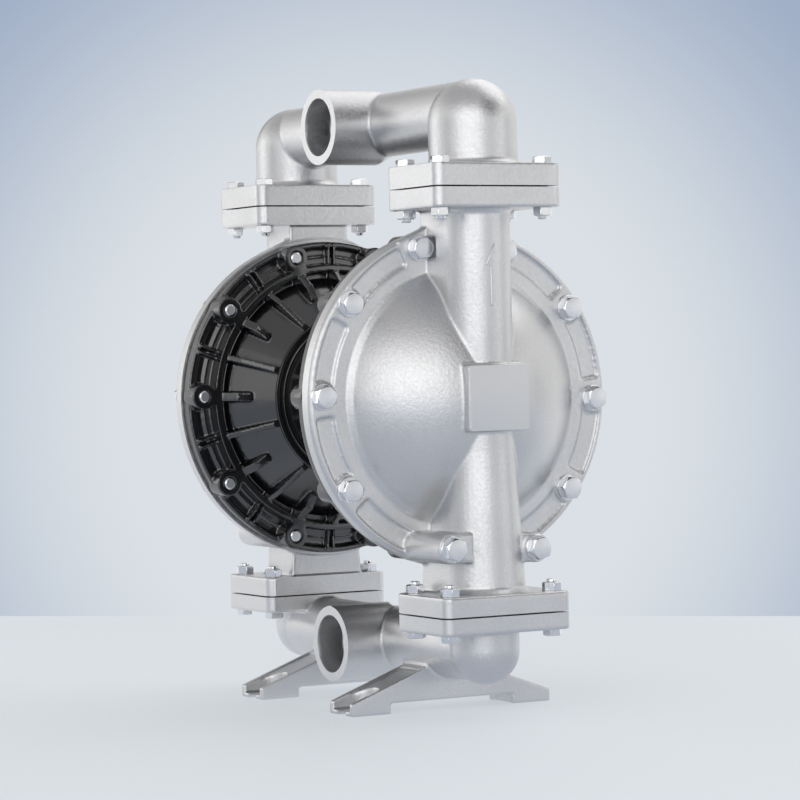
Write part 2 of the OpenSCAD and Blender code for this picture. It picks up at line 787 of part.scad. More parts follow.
// Moulded air cover: lipped flange, bosses, ring rib, ribbed cone and neck
module air_cover() {
    cone_end_x = cone_x(cone_r);
    lip_t = 4.5;
    lip_draft = 1;
    step_w = 6.5;
    step_h = 1.5;
    groove_floor = 3;
    color("black") difference() {
        union() {
            x_turned([
                [0, air_face_x], [air_cover_r, air_face_x], [air_cover_r, lip_x],
                [air_cover_r - lip_t, lip_x], [air_cover_r - lip_t - lip_draft, air_flange_x],
                [ring_rib_r + step_w, air_flange_x], [ring_rib_r + step_w, air_flange_x - step_h],
                [ring_rib_r, air_flange_x - step_h], [ring_rib_r, boss_face_x],
                [ring_rib_r - ring_rib_t, boss_face_x],
                [ring_rib_r - ring_rib_t, air_flange_x - groove_floor],
                [cone_r + step_h, air_flange_x - groove_floor], [cone_r + step_h, cone_end_x + step_h],
                [cone_r, cone_end_x], [air_neck_r, air_neck_x], [0, air_neck_x]
            ]);
            for (i = [0:bolt_count - 1]) {
                at_bolt(i) x_bar(boss_r, boss_face_x, air_face_x - eps, 48);
                at_bolt(i, 0) boss_bridge();
                at_bolt(i + 0.5, 0) double_rib();
                at_bolt(i + 0.5, 0) long_rib();
                at_bolt(i, 0) short_rib();
            }
        }
        // Air chamber
        x_turned([
            [0, air_floor_x], [inside_r(air_floor_x), air_floor_x],
            [inside_r(air_face_x + eps), air_face_x + eps], [0, air_face_x + eps]
        ]);
        // Room for the spigot of the centre body
        x_bar(spigot_r + 0.3, air_neck_x - eps, spigot_x, 96);
        x_bar(bush_r, spigot_x - eps, air_floor_x + eps);
        rotate([0, 90, 0]) rotate_extrude()
            translate([bead_ring_r, web_x]) circle(r = bead_r + 0.1, $fn = 32);
        for (i = [0:bolt_count - 1]) {
            at_bolt(i) x_bar(bolt_r + 0.1, boss_face_x - eps, air_face_x + eps);
            at_bolt(i) x_bar(insert_r, insert_x0, insert_x1, 32);
        }
        translate([0, 0, pilot_h]) x_bar(pilot_r + 0.5, spigot_x - eps, air_floor_x + eps, 32);
        at_centre_screws() x_bar(centre_screw_r + bolt_room, spigot_x - eps, air_floor_x + eps, 32);
    }
}

// Block that joins a boss to the ring rib
module boss_bridge() {
    bridge_w = 13;
    translate([boss_face_x, ring_rib_r - 2, -bridge_w / 2])
        cube([air_flange_x - boss_face_x, ring_rib_in - 2, bridge_w]);
}

// Pair of short ribs between the lip and the ring rib
module double_rib() {
    pair_gap = 5.2;
    short_t = 2;
    short_h = 6;
    for (s = [-1, 1]) {
        translate([air_flange_x - short_h, ring_rib_r - 1, s * pair_gap / 2 - short_t / 2])
            cube([short_h + 1, air_cover_r - ring_rib_r - 2, short_t]);
    }
}

// Tapered rib on the cone, from the ring rib down to the neck
module long_rib() {
    end_r = air_neck_r + 1.5;
    translate([0, 0, -rib_t / 2]) linear_extrude(rib_t)
        polygon([
            [boss_face_x + 1.5, ring_rib_r - ring_rib_t + 1],
            [cone_x(end_r), end_r], [cone_x(end_r) + 3, end_r - 1],
            [air_flange_x, cone_r], [air_flange_x, ring_rib_r - ring_rib_t + 1]
        ]);
}

// Thick rib on the cone under a boss, with a round end
module short_rib() {
    outer_r = ring_rib_r - ring_rib_t + 1;
    end_x = cone_x(short_rib_r);
    intersection() {
        translate([0, 0, -short_rib_t]) linear_extrude(2 * short_rib_t)
            polygon([
                [boss_face_x + 1.5, outer_r], [end_x - short_rib_h, short_rib_r],
                [end_x - short_rib_h, short_rib_r - short_rib_t],
                [end_x + 2, short_rib_r - short_rib_t], [air_flange_x, cone_r], [air_flange_x, outer_r]
            ]);
        union() {
            translate([0, short_rib_r, -short_rib_t / 2])
                cube([air_flange_x + eps, outer_r - short_rib_r + eps, short_rib_t]);
            translate([0, short_rib_r, 0]) x_bar(short_rib_t / 2, 0, air_flange_x + eps, 32);
        }
    }
}

// Places a shape at each screw between an air cover and the centre body
module at_centre_screws() {
    for (a = [0, 90, 180, 270]) {
        rotate([a + 45, 0, 0]) translate([0, centre_screw_circle, 0]) children();
    }
}

// Rubber diaphragm: clamped edge with a bead, one arched fold and a flat middle
module diaphragm() {
    fold_r = (inside_r(air_face_x) + plate_r) / 2;
    fold_w = 11;
    color("dimgray") difference() {
        union() {
            x_bar(air_cover_r - 1, air_face_x, joint_x, 96);
            x_bar(inside_r(air_face_x) - 1, rubber_in_x, rubber_out_x, 96);
            rotate([0, 90, 0]) rotate_extrude()
                translate([bead_ring_r, web_x]) circle(r = bead_r, $fn = 32);
            rotate([0, 90, 0]) rotate_extrude()
                translate([fold_r, rubber_in_x]) circle(r = fold_w, $fn = 48);
        }
        rotate([0, 90, 0]) rotate_extrude()
            translate([fold_r, rubber_in_x]) circle(r = fold_w - rubber_t, $fn = 48);
        x_turned([
            [fold_r - fold_w - eps, rubber_in_x - fold_w - eps],
            [fold_r + fold_w + eps, rubber_in_x - fold_w - eps],
            [fold_r + fold_w + eps, rubber_in_x], [fold_r - fold_w - eps, rubber_in_x]
        ]);
        x_bar(stud_r + 0.5, rubber_in_x - eps, rubber_out_x + eps);
        for (i = [0:bolt_count - 1]) {
            at_bolt(i) x_bar(bolt_r + bolt_room, air_face_x - eps, joint_x + eps);
        }
    }
}

// Outer clamp plate with the stud that screws into the shaft
module outer_plate() {
    color("silver") union() {
        x_turned([
            [0, rubber_out_x], [plate_r - 2, rubber_out_x], [plate_r, rubber_out_x + 2],
            [plate_r, rubber_out_x + 4], [plate_r * 0.6, outer_plate_x], [0, outer_plate_x]
        ]);
        x_bar(stud_r, inner_plate_x - stud_l, rubber_out_x + eps);
    }
}

// Inner clamp plate between the diaphragm and the shaft
module inner_plate() {
    color("gray") difference() {
        x_turned([
            [0, inner_plate_x], [plate_r - 6, inner_plate_x], [plate_r, rubber_in_x - 4],
            [plate_r, rubber_in_x - 2], [plate_r - 2, rubber_in_x], [0, rubber_in_x]
        ]);
        x_bar(stud_r + 0.2, inner_plate_x - eps, rubber_in_x + eps);
    }
}

// Shaft that joins the two diaphragms
module diaphragm_shaft() {
    color("silver") on_axis() difference() {
        x_bar(shaft_r, -inner_plate_x, inner_plate_x);
        for (side = [-1, 1]) {
            on_side(side) x_bar(stud_r + run_fit, inner_plate_x - stud_l - 2, inner_plate_x + eps);
        }
    }
}

// Centre body with a spigot into each air cover and a face for the air valve
module centre_body() {
    color("dimgray") on_axis() difference() {
        union() {
            x_bar(spigot_r, -spigot_x, spigot_x, 96);
            x_bar(collar_r, -air_neck_x, air_neck_x, 96);
            translate([-mount_half_l, 0, -mount_half_h])
                cube([2 * mount_half_l, mount_y, 2 * mount_half_h]);
        }
        x_bar(shaft_r + 1, -spigot_x, spigot_x);
        for (side = [-1, 1]) {
            on_side(side) {
                x_bar(bush_r, bush_start_x, spigot_x + eps);
                at_centre_screws() x_bar(centre_screw_r, spigot_x - 24, spigot_x + eps, 32);
                translate([air_passage_x, 0, 0]) rotate([-90, 0, 0])
                    translate([0, 0, passage_y]) cylinder(r = air_passage_r, h = mount_y, $fn = 32);
            }
        }
        translate([0, 0, pilot_h]) x_bar(pilot_r + run_fit, -spigot_x - eps, spigot_x + eps, 32);
        at_valve_screws() rotate([-90, 0, 0])
            translate([0, 0, mount_y - 14]) cylinder(r = screw_r, h = 14 + eps, $fn = 32);
    }
}

// Places a shape at each of the four screws of the air valve
module at_valve_screws() {
    for (sx = [-1, 1]) {
        for (sz = [-1, 1]) {
            translate([sx * valve_screw_x, 0, sz * valve_screw_h]) children();
        }
    }
}

// Two bushes that carry the shaft
module shaft_bushes() {
    color("darkgoldenrod") on_axis() for (side = [-1, 1]) {
        on_side(side) difference() {
            x_bar(bush_r, bush_start_x, spigot_x);
            x_bar(shaft_r + run_fit, bush_start_x - eps, spigot_x + eps);
        }
    }
}

// Lip seals outboard of the bushes
module shaft_seals() {
    color("black") on_axis() for (side = [-1, 1]) {
        on_side(side) difference() {
            x_bar(bush_r, spigot_x, air_floor_x - 0.5);
            x_bar(shaft_r + run_fit, spigot_x - eps, air_floor_x);
        }
    }
}

// Pilot rod that the clamp plates push at the ends of the stroke
module pilot_rod() {
    color("silver") translate([0, 0, axis_z + pilot_h]) difference() {
        x_bar(pilot_r, -pilot_end_x, pilot_end_x, 32);
        for (x = [-12, 0, 12]) {
            translate([x, 0, 0]) difference() {
                x_bar(pilot_r + eps, -2, 2, 32);
                x_bar(pilot_r - 1, -3, 3, 32);
            }
        }
    }
}

// Air valve body: spool bore, air inlet on top and exhaust below
module air_valve_body() {
    color("gray") on_axis() difference() {
        translate([-valve_half_l, valve_face_y, -valve_half_h])
            cube([2 * valve_half_l, valve_back_y - valve_face_y, 2 * valve_half_h]);
        translate([0, spool_y, 0]) x_bar(spool_r + run_fit, -valve_half_l - eps, valve_half_l + eps);
        translate([0, spool_y, 0]) cylinder(r = air_feed_r, h = valve_half_h, $fn = 48);
        translate([0, spool_y, valve_half_h - air_thread_l])
            cylinder(r = air_bore_r, h = air_thread_l + eps, $fn = 48);
        translate([0, spool_y, -valve_half_h]) cylinder(r = exhaust_feed_r, h = valve_half_h, $fn = 48);
        translate([0, spool_y, -valve_half_h - eps])
            cylinder(r = exhaust_bore_r, h = air_thread_l + eps, $fn = 48);
        for (sx = [-1, 1]) {
            translate([sx * air_passage_x, valve_face_y - eps, 0]) rotate([-90, 0, 0])
                cylinder(r = air_passage_r, h = spool_y - valve_face_y, $fn = 32);
        }
        at_valve_screws() translate([0, valve_face_y - eps, 0]) rotate([-90, 0, 0])
            cylinder(r = screw_r + bolt_room, h = valve_back_y - valve_face_y + 2 * eps, $fn = 32);
        at_cap_screws(valve_half_l - 12, 12 + eps, cap_screw_r);
    }
}

// Gasket between the centre body and the air valve
module air_valve_gasket() {
    color("black") on_axis() difference() {
        translate([-mount_half_l, mount_y, -valve_half_h])
            cube([2 * mount_half_l, gasket_t, 2 * valve_half_h]);
        for (sx = [-1, 1]) {
            translate([sx * air_passage_x, mount_y - eps, 0]) rotate([-90, 0, 0])
                cylinder(r = air_passage_r, h = gasket_t + 2 * eps, $fn = 32);
        }
        at_valve_screws() translate([0, mount_y - eps, 0]) rotate([-90, 0, 0])
            cylinder(r = screw_r + bolt_room, h = gasket_t + 2 * eps, $fn = 32);
    }
}

// Spool with three lands
module air_valve_spool() {
    land_l = 12;
    gap_l = (2 * spool_half_l - 3 * land_l) / 2;
    color("silver") translate([0, spool_y, axis_z]) union() {
        x_bar(spool_r - 4, -spool_half_l, spool_half_l);
        for (i = [-1, 0, 1]) {
            translate([i * (land_l + gap_l), 0, 0]) x_bar(spool_r, -land_l / 2, land_l / 2);
        }
    }
}

// Cylinders along the shaft at the screws of both end caps
module at_cap_screws(x0, l, r) {
    for (side = [-1, 1]) {
        for (sy = [-1, 1]) {
            for (sz = [-1, 1]) {
                on_side(side) translate([0, spool_y + sy * cap_screw_c, sz * cap_screw_c])
                    x_bar(r, x0, x0 + l, 32);
            }
        }
    }
}

// Caps that close the two ends of the spool bore
module valve_end_caps() {
    color("gray") on_axis() difference() {
        for (side = [-1, 1]) {
            on_side(side) translate([valve_half_l, spool_y - cap_half_w, -cap_half_h])
                cube([cap_t, 2 * cap_half_w, 2 * cap_half_h]);
        }
        at_cap_screws(valve_half_l - eps, cap_t + 2 * eps, cap_screw_r + 0.3);
    }
}

// Eight small screws in the end caps
module valve_cap_screws() {
    color("silver") on_axis() {
        at_cap_screws(valve_half_l - 10, cap_t + 10.5, cap_screw_r);
        at_cap_screws(valve_half_l + cap_t, 2.5, 3.5);
    }
}

// Four screws that hold the air valve on the centre body
module valve_screws() {
    color("silver") on_axis() at_valve_screws() rotate([-90, 0, 0]) {
        translate([0, 0, mount_y - 12])
            cylinder(r = screw_r, h = valve_back_y - mount_y + 12.5, $fn = 32);
        translate([0, 0, valve_back_y]) difference() {
            cylinder(r = 5, h = 6, $fn = 32);
            translate([0, 0, 3]) cylinder(r = hex_r(5), h = 4, $fn = 6);
        }
    }
}

// Muffler that screws into the exhaust under the air valve
module muffler() {
    top = -valve_half_h;
    nut_t = 9;
    nut_af = 30;
    fin_count = 8;
    end_fin_t = 6;
    fin_t = 3;
    low = top - nut_t - muffler_l;
    color("dimgray") translate([0, spool_y, axis_z]) difference() {
        union() {
            translate([0, 0, top - eps])
                cylinder(r = exhaust_bore_r - run_fit, h = air_thread_l - 2 + eps, $fn = 48);
            translate([0, 0, top - nut_t]) cylinder(r = hex_r(nut_af), h = nut_t, $fn = 6);
            translate([0, 0, low]) cylinder(r = muffler_r - 2, h = muffler_l);
            for (i = [0:fin_count - 1]) {
                translate([0, 0, low + i * (muffler_l - end_fin_t) / (fin_count - 1)])
                    cylinder(r = muffler_r, h = i == 0 || i == fin_count - 1 ? end_fin_t : fin_t);
            }
        }
        translate([0, 0, low + 4])
            cylinder(r = exhaust_feed_r, h = muffler_l + nut_t + air_thread_l, $fn = 48);
    }
}

// Valve seat with a cone for the ball and a groove for its seal, bottom face at z = 0
module seat() {
    color("gainsboro") difference() {
        cylinder(r = seat_r, h = seat_h);
        translate([0, 0, -eps]) cylinder(r = seat_bore_r, h = seat_h + 2 * eps);
        translate([0, 0, seat_h - cone_depth])
            cylinder(r1 = seat_bore_r, r2 = seat_mouth_r, h = cone_depth);
        translate([0, 0, groove_z]) difference() {
            cylinder(r = seat_r + eps, h = groove_w);
            translate([0, 0, -eps]) cylinder(r = groove_r, h = groove_w + 2 * eps);
        }
    }
}

// Seal ring in the groove of a seat
module seat_seal() {
    color("black") translate([0, 0, groove_z + groove_w / 2]) rotate_extrude()
        translate([seat_r + seat_fit - ring_section, 0]) circle(r = ring_section, $fn = 32);
}

// Places a shape at the bottom of the seat pockets on both sides
module at_inlet_seats() {
    for (side = [-1, 1]) {
        translate([side * neck_x, 0, axis_z - low_joint_h - seat_h]) children();
    }
}
module at_outlet_seats() {
    for (side = [-1, 1]) {
        translate([side * neck_x, 0, axis_z + top_joint_h - seat_pocket_d]) children();
    }
}

// Balls at rest over the inlet seats and the outlet seats
module inlet_ball() {
    ball(-low_joint_h);
}
module outlet_ball() {
    ball(top_joint_h + flange_gap);
}

// Bolts and nuts of the upper and the lower flange joints
module outlet_flange_bolts() {
    flange_bolts(top_joint_h + flange_gap + outlet_flange_t, top_under_h - thread_out);
}
module inlet_flange_bolts() {
    flange_bolts(-low_joint_h - flange_gap - inlet_flange_t, -low_over_h + thread_out);
}
module outlet_flange_nuts() {
    flange_nuts(top_under_h, false);
}
module inlet_flange_nuts() {
    flange_nuts(-low_over_h, true);
}

// Valve ball resting over its seat, whose top face is at height z above the shaft axis
module ball(z) {
    color("white") translate([neck_x, 0, z + ball_rest_h]) sphere(r = ball_r);
}

// Cover bolts: hexagon heads on washers, with their thread ends at the air cover's bosses
module cover_bolts() {
    color("silver") for (i = [0:bolt_count - 1]) {
        head_x = (is_long(i) ? long_boss_x : rim_x) + washer_t;
        at_bolt(i) {
            x_bar(bolt_r, thread_end_x, head_x + 1, 32);
            translate([head_x, 0, 0]) rotate([0, 90, 0]) hex_head(bolt_af, head_h(bolt_af));
        }
    }
}

// Washers under the cover bolts
module cover_washers() {
    color("silver") for (i = [0:bolt_count - 1]) {
        seat_x = is_long(i) ? long_boss_x : rim_x;
        at_bolt(i) difference() {
            x_bar(washer_r, seat_x, seat_x + washer_t);
            x_bar(bolt_r + bolt_room / 2, seat_x - eps, seat_x + washer_t + eps);
        }
    }
}

// Threaded inserts moulded into the bosses of an air cover
module thread_inserts() {
    color("silver") for (i = [0:bolt_count - 1]) {
        at_bolt(i) difference() {
            x_bar(insert_r, insert_x0, insert_x1, 32);
            x_bar(bolt_r + run_fit, insert_x0 - eps, insert_x1 + eps, 32);
        }
    }
}

// Flange bolts with their heads at height z0, pointing to height z1
module flange_bolts(z0, z1) {
    up = z1 > z0;
    color("silver") on_axis() for (side = [-1, 1]) {
        on_side(side) at_flange_bolts() {
            translate([0, 0, min(z0, z1)]) cylinder(r = flange_bolt_r, h = abs(z1 - z0), $fn = 32);
            translate([0, 0, z0]) mirror([0, 0, up ? 1 : 0])
                rotate([0, 0, 15]) hex_head(flange_bolt_af, head_h(flange_bolt_af));
        }
    }
}

// Nuts of the flange bolts, from the flange at height z, above it or below
module flange_nuts(z, up) {
    color("silver") on_axis() for (side = [-1, 1]) {
        on_side(side) at_flange_bolts() translate([0, 0, z]) mirror([0, 0, up ? 0 : 1])
            rotate([0, 0, 15]) difference() {
                hex_head(flange_bolt_af, nut_h);
                translate([0, 0, -eps]) cylinder(r = flange_bolt_r + run_fit, h = nut_h + 2 * eps, $fn = 32);
            }
    }
}

// Screws that hold an air cover on the centre body
module centre_screws() {
    color("silver") at_centre_screws() {
        x_bar(centre_screw_r - run_fit, spigot_x - 20, air_floor_x + 1, 32);
        difference() {
            x_bar(6.5, air_floor_x, air_floor_x + 5, 32);
            translate([air_floor_x + 2, 0, 0]) rotate([0, 90, 0]) cylinder(r = hex_r(6), h = 4, $fn = 6);
        }
    }
}

outlet_manifold();
inlet_manifold();
on_left() fluid_cover();  // left_fluid_cover
on_right() fluid_cover();  // right_fluid_cover
on_left() air_cover();  // left_air_cover
on_right() air_cover();  // right_air_cover
on_left() diaphragm();  // left_diaphragm
on_right() diaphragm();  // right_diaphragm
on_left() outer_plate();  // left_outer_plate
on_right() outer_plate();  // right_outer_plate
on_left() inner_plate();  // left_inner_plate
on_right() inner_plate();  // right_inner_plate
diaphragm_shaft();
centre_body();
shaft_bushes();
shaft_seals();
pilot_rod();
air_valve_body();
air_valve_gasket();
air_valve_spool();
valve_end_caps();
valve_cap_screws();
valve_screws();
muffler();
at_inlet_seats() seat();  // inlet_seats
at_outlet_seats() seat();  // outlet_seats
at_inlet_seats() seat_seal();  // inlet_seat_seals
at_outlet_seats() seat_seal();  // outlet_seat_seals
on_left() inlet_ball();  // left_inlet_ball
on_right() inlet_ball();  // right_inlet_ball
on_left() outlet_ball();  // left_outlet_ball
on_right() outlet_ball();  // right_outlet_ball
on_left() cover_bolts();  // left_cover_bolts
on_right() cover_bolts();  // right_cover_bolts
on_left() cover_washers();  // left_cover_washers
on_right() cover_washers();  // right_cover_washers
on_left() thread_inserts();  // left_thread_inserts
on_right() thread_inserts();  // right_thread_inserts
outlet_flange_bolts();
inlet_flange_bolts();
outlet_flange_nuts();
inlet_flange_nuts();
on_left() centre_screws();  // left_centre_screws
on_right() centre_screws();  // right_centre_screws
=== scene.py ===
"""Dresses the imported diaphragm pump: cast stainless covers and manifolds, black moulded air covers,
polished fasteners, and a plain pale studio with the camera at the photograph's angle."""

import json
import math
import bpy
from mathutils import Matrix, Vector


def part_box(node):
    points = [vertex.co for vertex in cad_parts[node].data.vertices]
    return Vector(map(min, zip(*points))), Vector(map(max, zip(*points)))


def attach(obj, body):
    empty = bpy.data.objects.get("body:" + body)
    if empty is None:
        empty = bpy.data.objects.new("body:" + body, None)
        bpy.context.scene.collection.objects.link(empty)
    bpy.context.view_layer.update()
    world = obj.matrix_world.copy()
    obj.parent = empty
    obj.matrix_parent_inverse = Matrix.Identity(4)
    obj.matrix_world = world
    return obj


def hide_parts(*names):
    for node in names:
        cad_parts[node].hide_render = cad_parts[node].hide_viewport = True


bl_info = {
    "name": "Diaphragm Pump Finish",
    "version": (1, 0, 0),
    "blender": (4, 5, 0),
    "location": "View3D > Sidebar > Pump",
    "description": "Casts, moulds and fastens the skin of an air-driven diaphragm pump around its CAD frame",
    "category": "Object",
}

import bmesh
import bpy
from bpy.props import FloatProperty, FloatVectorProperty, IntProperty, PointerProperty
from mathutils import Matrix, Vector

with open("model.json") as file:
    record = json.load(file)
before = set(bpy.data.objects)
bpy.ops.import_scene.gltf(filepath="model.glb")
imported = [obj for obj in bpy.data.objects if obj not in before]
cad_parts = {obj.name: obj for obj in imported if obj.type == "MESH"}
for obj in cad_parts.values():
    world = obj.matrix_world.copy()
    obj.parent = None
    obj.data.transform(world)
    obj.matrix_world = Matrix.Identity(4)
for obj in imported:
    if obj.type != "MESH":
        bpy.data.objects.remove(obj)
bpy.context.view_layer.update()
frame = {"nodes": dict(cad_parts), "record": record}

# Lengths are in metres, and MM turns millimetres into them.
MM = 0.001
SIDES = {"left": -1, "right": 1}
# Angle past which two faces meet in a sharp line, on castings and on a fastener
SHARP = math.radians(38)
FACET = math.radians(17)

# Places of the machined faces, and height of the shaft's axis
BACK_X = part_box("right_fluid_cover")[0].x
AIR_FACE_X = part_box("right_air_cover")[1].x
AIR_NECK_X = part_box("right_air_cover")[0].x
COVER_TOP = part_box("right_fluid_cover")[1].z
COVER_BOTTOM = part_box("right_fluid_cover")[0].z
OUTLET_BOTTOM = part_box("outlet_manifold")[0].z
INLET_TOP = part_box("inlet_manifold")[1].z
PORT_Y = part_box("outlet_manifold")[0].y
AXIS_Z = (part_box("right_air_cover")[0].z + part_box("right_air_cover")[1].z) / 2

# Place of each mount of the record
PORTS = {row["name"]: Vector(row["pos_m"]) for row in frame["record"]["mounts"]}
# Reach round a port's axis in which its face is machined, how far behind that face its cut takes in the
# skin, and how far off any machined face a vertex may lie
PORT_ROUND = 34 * MM
PORT_DEPTH = 5 * MM
FACE_DEPTH = 0.45 * MM
# How far a flange's machined face lies inside the joint, which shows as a dark line
JOINT_GAP = 0.3 * MM
# Steps of the skin by which a machined face runs on before it is cut flat
RUN_STEPS = 4
# Share of the skin's triangles that each kind of piece keeps
COVER_SHARE = 0.37
MANIFOLD_SHARE = 0.4
AIR_COVER_SHARE = 0.3

# Cone of an air cover: radius of its wide end and of the neck, and the wide end's distance from the joint
CONE_R = 95 * MM
NECK_R = 60 * MM
CONE_SET_BACK = 14.7 * MM
# Short ribs of the cone: their inner end in the CAD, how much shorter the moulding has them, and their width
SHORT_RIB_END = 64 * MM
SHORTER_BY = 13 * MM
SHORT_RIB_T = 7.2 * MM
BOLT_COUNT = 10
# Reach inside the neck and behind the cone's outside in which vertices still belong to the cone, and
# how far inside the rim its slope goes on
CONE_IN = 1 * MM
CONE_BEHIND = 3 * MM
RIM_RUN_IN = 6 * MM
# Rim at the small end of the moulding's cone, and the plane where the neck's own piece starts
RIM_R = 67.5 * MM
RIM_X = 60.5 * MM
NECK_CUT_X = 61.2 * MM
# Height of the rim's lip, and wall of the neck's piece
LIP_H = 2.2 * MM
NECK_WALL = 7 * MM

# Pad on a dome, and the blank plate on it
PAD_X = 177 * MM
PLATE_W = 51 * MM
PLATE_T = 1 * MM
# Height of a plate to its width, radius of its corners and of its edge
PLATE_RATIO = 0.96
PLATE_CORNER_R = 1.2 * MM
PLATE_EDGE_R = 0.25 * MM
# Front of an upper neck, and the flow arrow's lines on it, as (across, above the shaft) of their ends
NECK_X = 146.7 * MM
NECK_FRONT_R = 26.5 * MM
ARROW_R = 0.95 * MM
ARROW_LINES = (
    ((-2.2 * MM, 69.5 * MM), (-2.2 * MM, 98.5 * MM)),
    ((-5.6 * MM, 100 * MM), (0.7 * MM, 114.4 * MM)),
)

# A bolt's head, as half its width, its height and the rise of its crown, and the radius of its shank
COVER_HEAD = (8 * MM, 6.4 * MM, 0.6 * MM)
COVER_SHANK_R = 5 * MM
FLANGE_HEAD = (6.5 * MM, 5.2 * MM, 0.2 * MM)
FLANGE_SHANK_R = 4 * MM
# Turn of the flange bolts' heads and nuts, and the hole's radius in a cover bolt's washer
FLANGE_TURN = 0.26
WASHER_HOLE_R = 5.2 * MM
# Pitch of a cover bolt's thread to that of a flange bolt's
COVER_PITCH = 1.2
# Turned top of a hexagon: its radius to half the width, the slope outside it, and how far in the crown is
TOP_SHARE = 0.93
TOP_SLOPE = math.radians(28)
TOP_INSET = 0.55
# Part of a face's normal along a bolt's axis from which the face counts as turned and not drawn
TURNED_SPAN = (0.9, 0.96)
# Steps round a hexagon, a thread, a washer and a neck
HEXAGON_STEPS = 48
THREAD_STEPS = 24
WASHER_STEPS = 40
NECK_STEPS = 160


class CastingSettings(bpy.types.PropertyGroup):
    """Sizes and finish of the stainless castings"""

    colour: FloatVectorProperty(
        name="Steel colour", description="Colour of the blasted stainless surface",
        subtype="COLOR", size=3, default=(0.70, 0.70, 0.705))
    roughness: FloatProperty(
        name="Roughness", description="Mean roughness of the blasted surface", default=0.40, min=0.05, max=1)
    voxel: FloatProperty(
        name="Skin step", description="Step of the skin that rounds the casting's edges",
        subtype="DISTANCE", default=1.05 * MM)
    passes: IntProperty(
        name="Fillet passes", description="How far the casting's edges and corners are rounded", default=4)
    peel: FloatProperty(
        name="Orange peel", description="Depth of the blasted texture", subtype="DISTANCE", default=0.15 * MM)


class MouldingSettings(bpy.types.PropertyGroup):
    """Sizes and finish of the black moulded covers"""

    colour: FloatVectorProperty(
        name="Plastic colour", description="Colour of the glass-filled plastic",
        subtype="COLOR", size=3, default=(0.007, 0.007, 0.008))
    roughness: FloatProperty(
        name="Roughness", description="Mean roughness of the moulded surface", default=0.17, min=0.05, max=1)
    voxel: FloatProperty(
        name="Skin step", description="Step of the skin that rounds the moulding's edges",
        subtype="DISTANCE", default=0.9 * MM)
    passes: IntProperty(
        name="Fillet passes", description="How far the moulding's edges are rounded", default=2)


class FastenerSettings(bpy.types.PropertyGroup):
    """Finish, edges and threads of the polished bolts, nuts and washers"""

    colour: FloatVectorProperty(
        name="Bolt colour", description="Colour of the polished steel",
        subtype="COLOR", size=3, default=(0.82, 0.83, 0.85))
    roughness: FloatProperty(
        name="Side roughness", description="Roughness of a hexagon's drawn sides",
        default=0.07, min=0.02, max=1)
    top_roughness: FloatProperty(
        name="Top roughness", description="Roughness of turned faces", default=0.34, min=0.02, max=1)
    bevel: FloatProperty(
        name="Edge bevel", description="Width of the bevel on a hexagon's corners",
        subtype="DISTANCE", default=0.35 * MM)
    pitch: FloatProperty(
        name="Thread pitch", description="Distance between two thread crests of a flange bolt",
        subtype="DISTANCE", default=1.25 * MM)


class StageSettings(bpy.types.PropertyGroup):
    """Floor, background, lamps and camera"""

    floor: FloatVectorProperty(
        name="Floor colour", description="Colour of the floor", subtype="COLOR", size=3,
        default=(0.75, 0.79, 0.83))
    # Colours of the floor's glow for every ray but the camera's, a painted reflection that the metal shows
    floor_in_metal: FloatVectorProperty(
        name="Near floor in reflections",
        description="Colour of the floor in front of the pump as the metal shows it",
        subtype="COLOR", size=3, default=(0.50, 0.54, 0.61))
    far_floor_in_metal: FloatVectorProperty(
        name="Far floor in reflections",
        description="Colour of the floor behind the pump as the metal shows it",
        subtype="COLOR", size=3, default=(0.88, 0.90, 0.93))
    floor_width: FloatProperty(
        name="Floor width", description="Width of the floor along its far edge",
        subtype="DISTANCE", default=7)
    far_edge: FloatProperty(
        name="Far edge", description="Height in the 800 pixel frame of the floor's far edge", default=616)
    glow: FloatVectorProperty(
        name="Background glow", description="Background behind the pump", subtype="COLOR", size=3,
        default=(0.701, 0.745, 0.783))
    dusk: FloatVectorProperty(
        name="Background edge", description="Background far from the pump", subtype="COLOR", size=3,
        default=(0.335, 0.412, 0.560))
    walls: FloatVectorProperty(
        name="Walls", description="Colour of the room's walls as the metal shows them",
        subtype="COLOR", size=3, default=(0.91, 0.91, 0.905))
    ceiling: FloatVectorProperty(
        name="Ceiling", description="Colour of the room's ceiling as the metal shows it",
        subtype="COLOR", size=3, default=(0.46, 0.46, 0.47))
    panel: FloatVectorProperty(
        name="Dark panels", description="Colour of the dark panels round the pump, which shape the metal",
        subtype="COLOR", size=3, default=(0.08, 0.08, 0.085))
    lamp_level: FloatProperty(
        name="Lamp level", description="Brightness of the soft lamps' faces, where 1 is white", default=1.0)
    lens: FloatProperty(name="Lens", description="Focal length of the camera in millimetres", default=142.5)
    camera_place: FloatVectorProperty(
        name="Camera place", description="Where the camera stands", subtype="TRANSLATION", size=3,
        default=(2.2171, -1.2068, 0.2776))
    camera_yaw: FloatProperty(
        name="Camera yaw", description="Turn of the view from the shaft's direction",
        subtype="ANGLE", default=math.radians(28.81))
    camera_pitch: FloatProperty(
        name="Camera pitch", description="Tilt of the view", subtype="ANGLE", default=math.radians(-0.90))
    camera_roll: FloatProperty(
        name="Camera roll", description="Roll of the view", subtype="ANGLE", default=math.radians(-1.38))


def new_object(name, bm):
    """Object at the origin from a bmesh, which is freed."""
    mesh = bpy.data.meshes.new(name)
    bm.to_mesh(mesh)
    bm.free()
    piece = bpy.data.objects.new(name, mesh)
    bpy.context.scene.collection.objects.link(piece)
    return piece


def finish_piece(piece, body, material, replaced=(), angle=SHARP):
    """Smooth shading with sharp corners, one material, and the body that the piece rides on."""
    piece.data.materials.clear()
    piece.data.materials.append(material)
    for polygon in piece.data.polygons:
        polygon.use_smooth = True
    piece.data.set_sharp_from_angle(angle=angle)
    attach(piece, body)
    if replaced:
        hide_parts(*replaced)


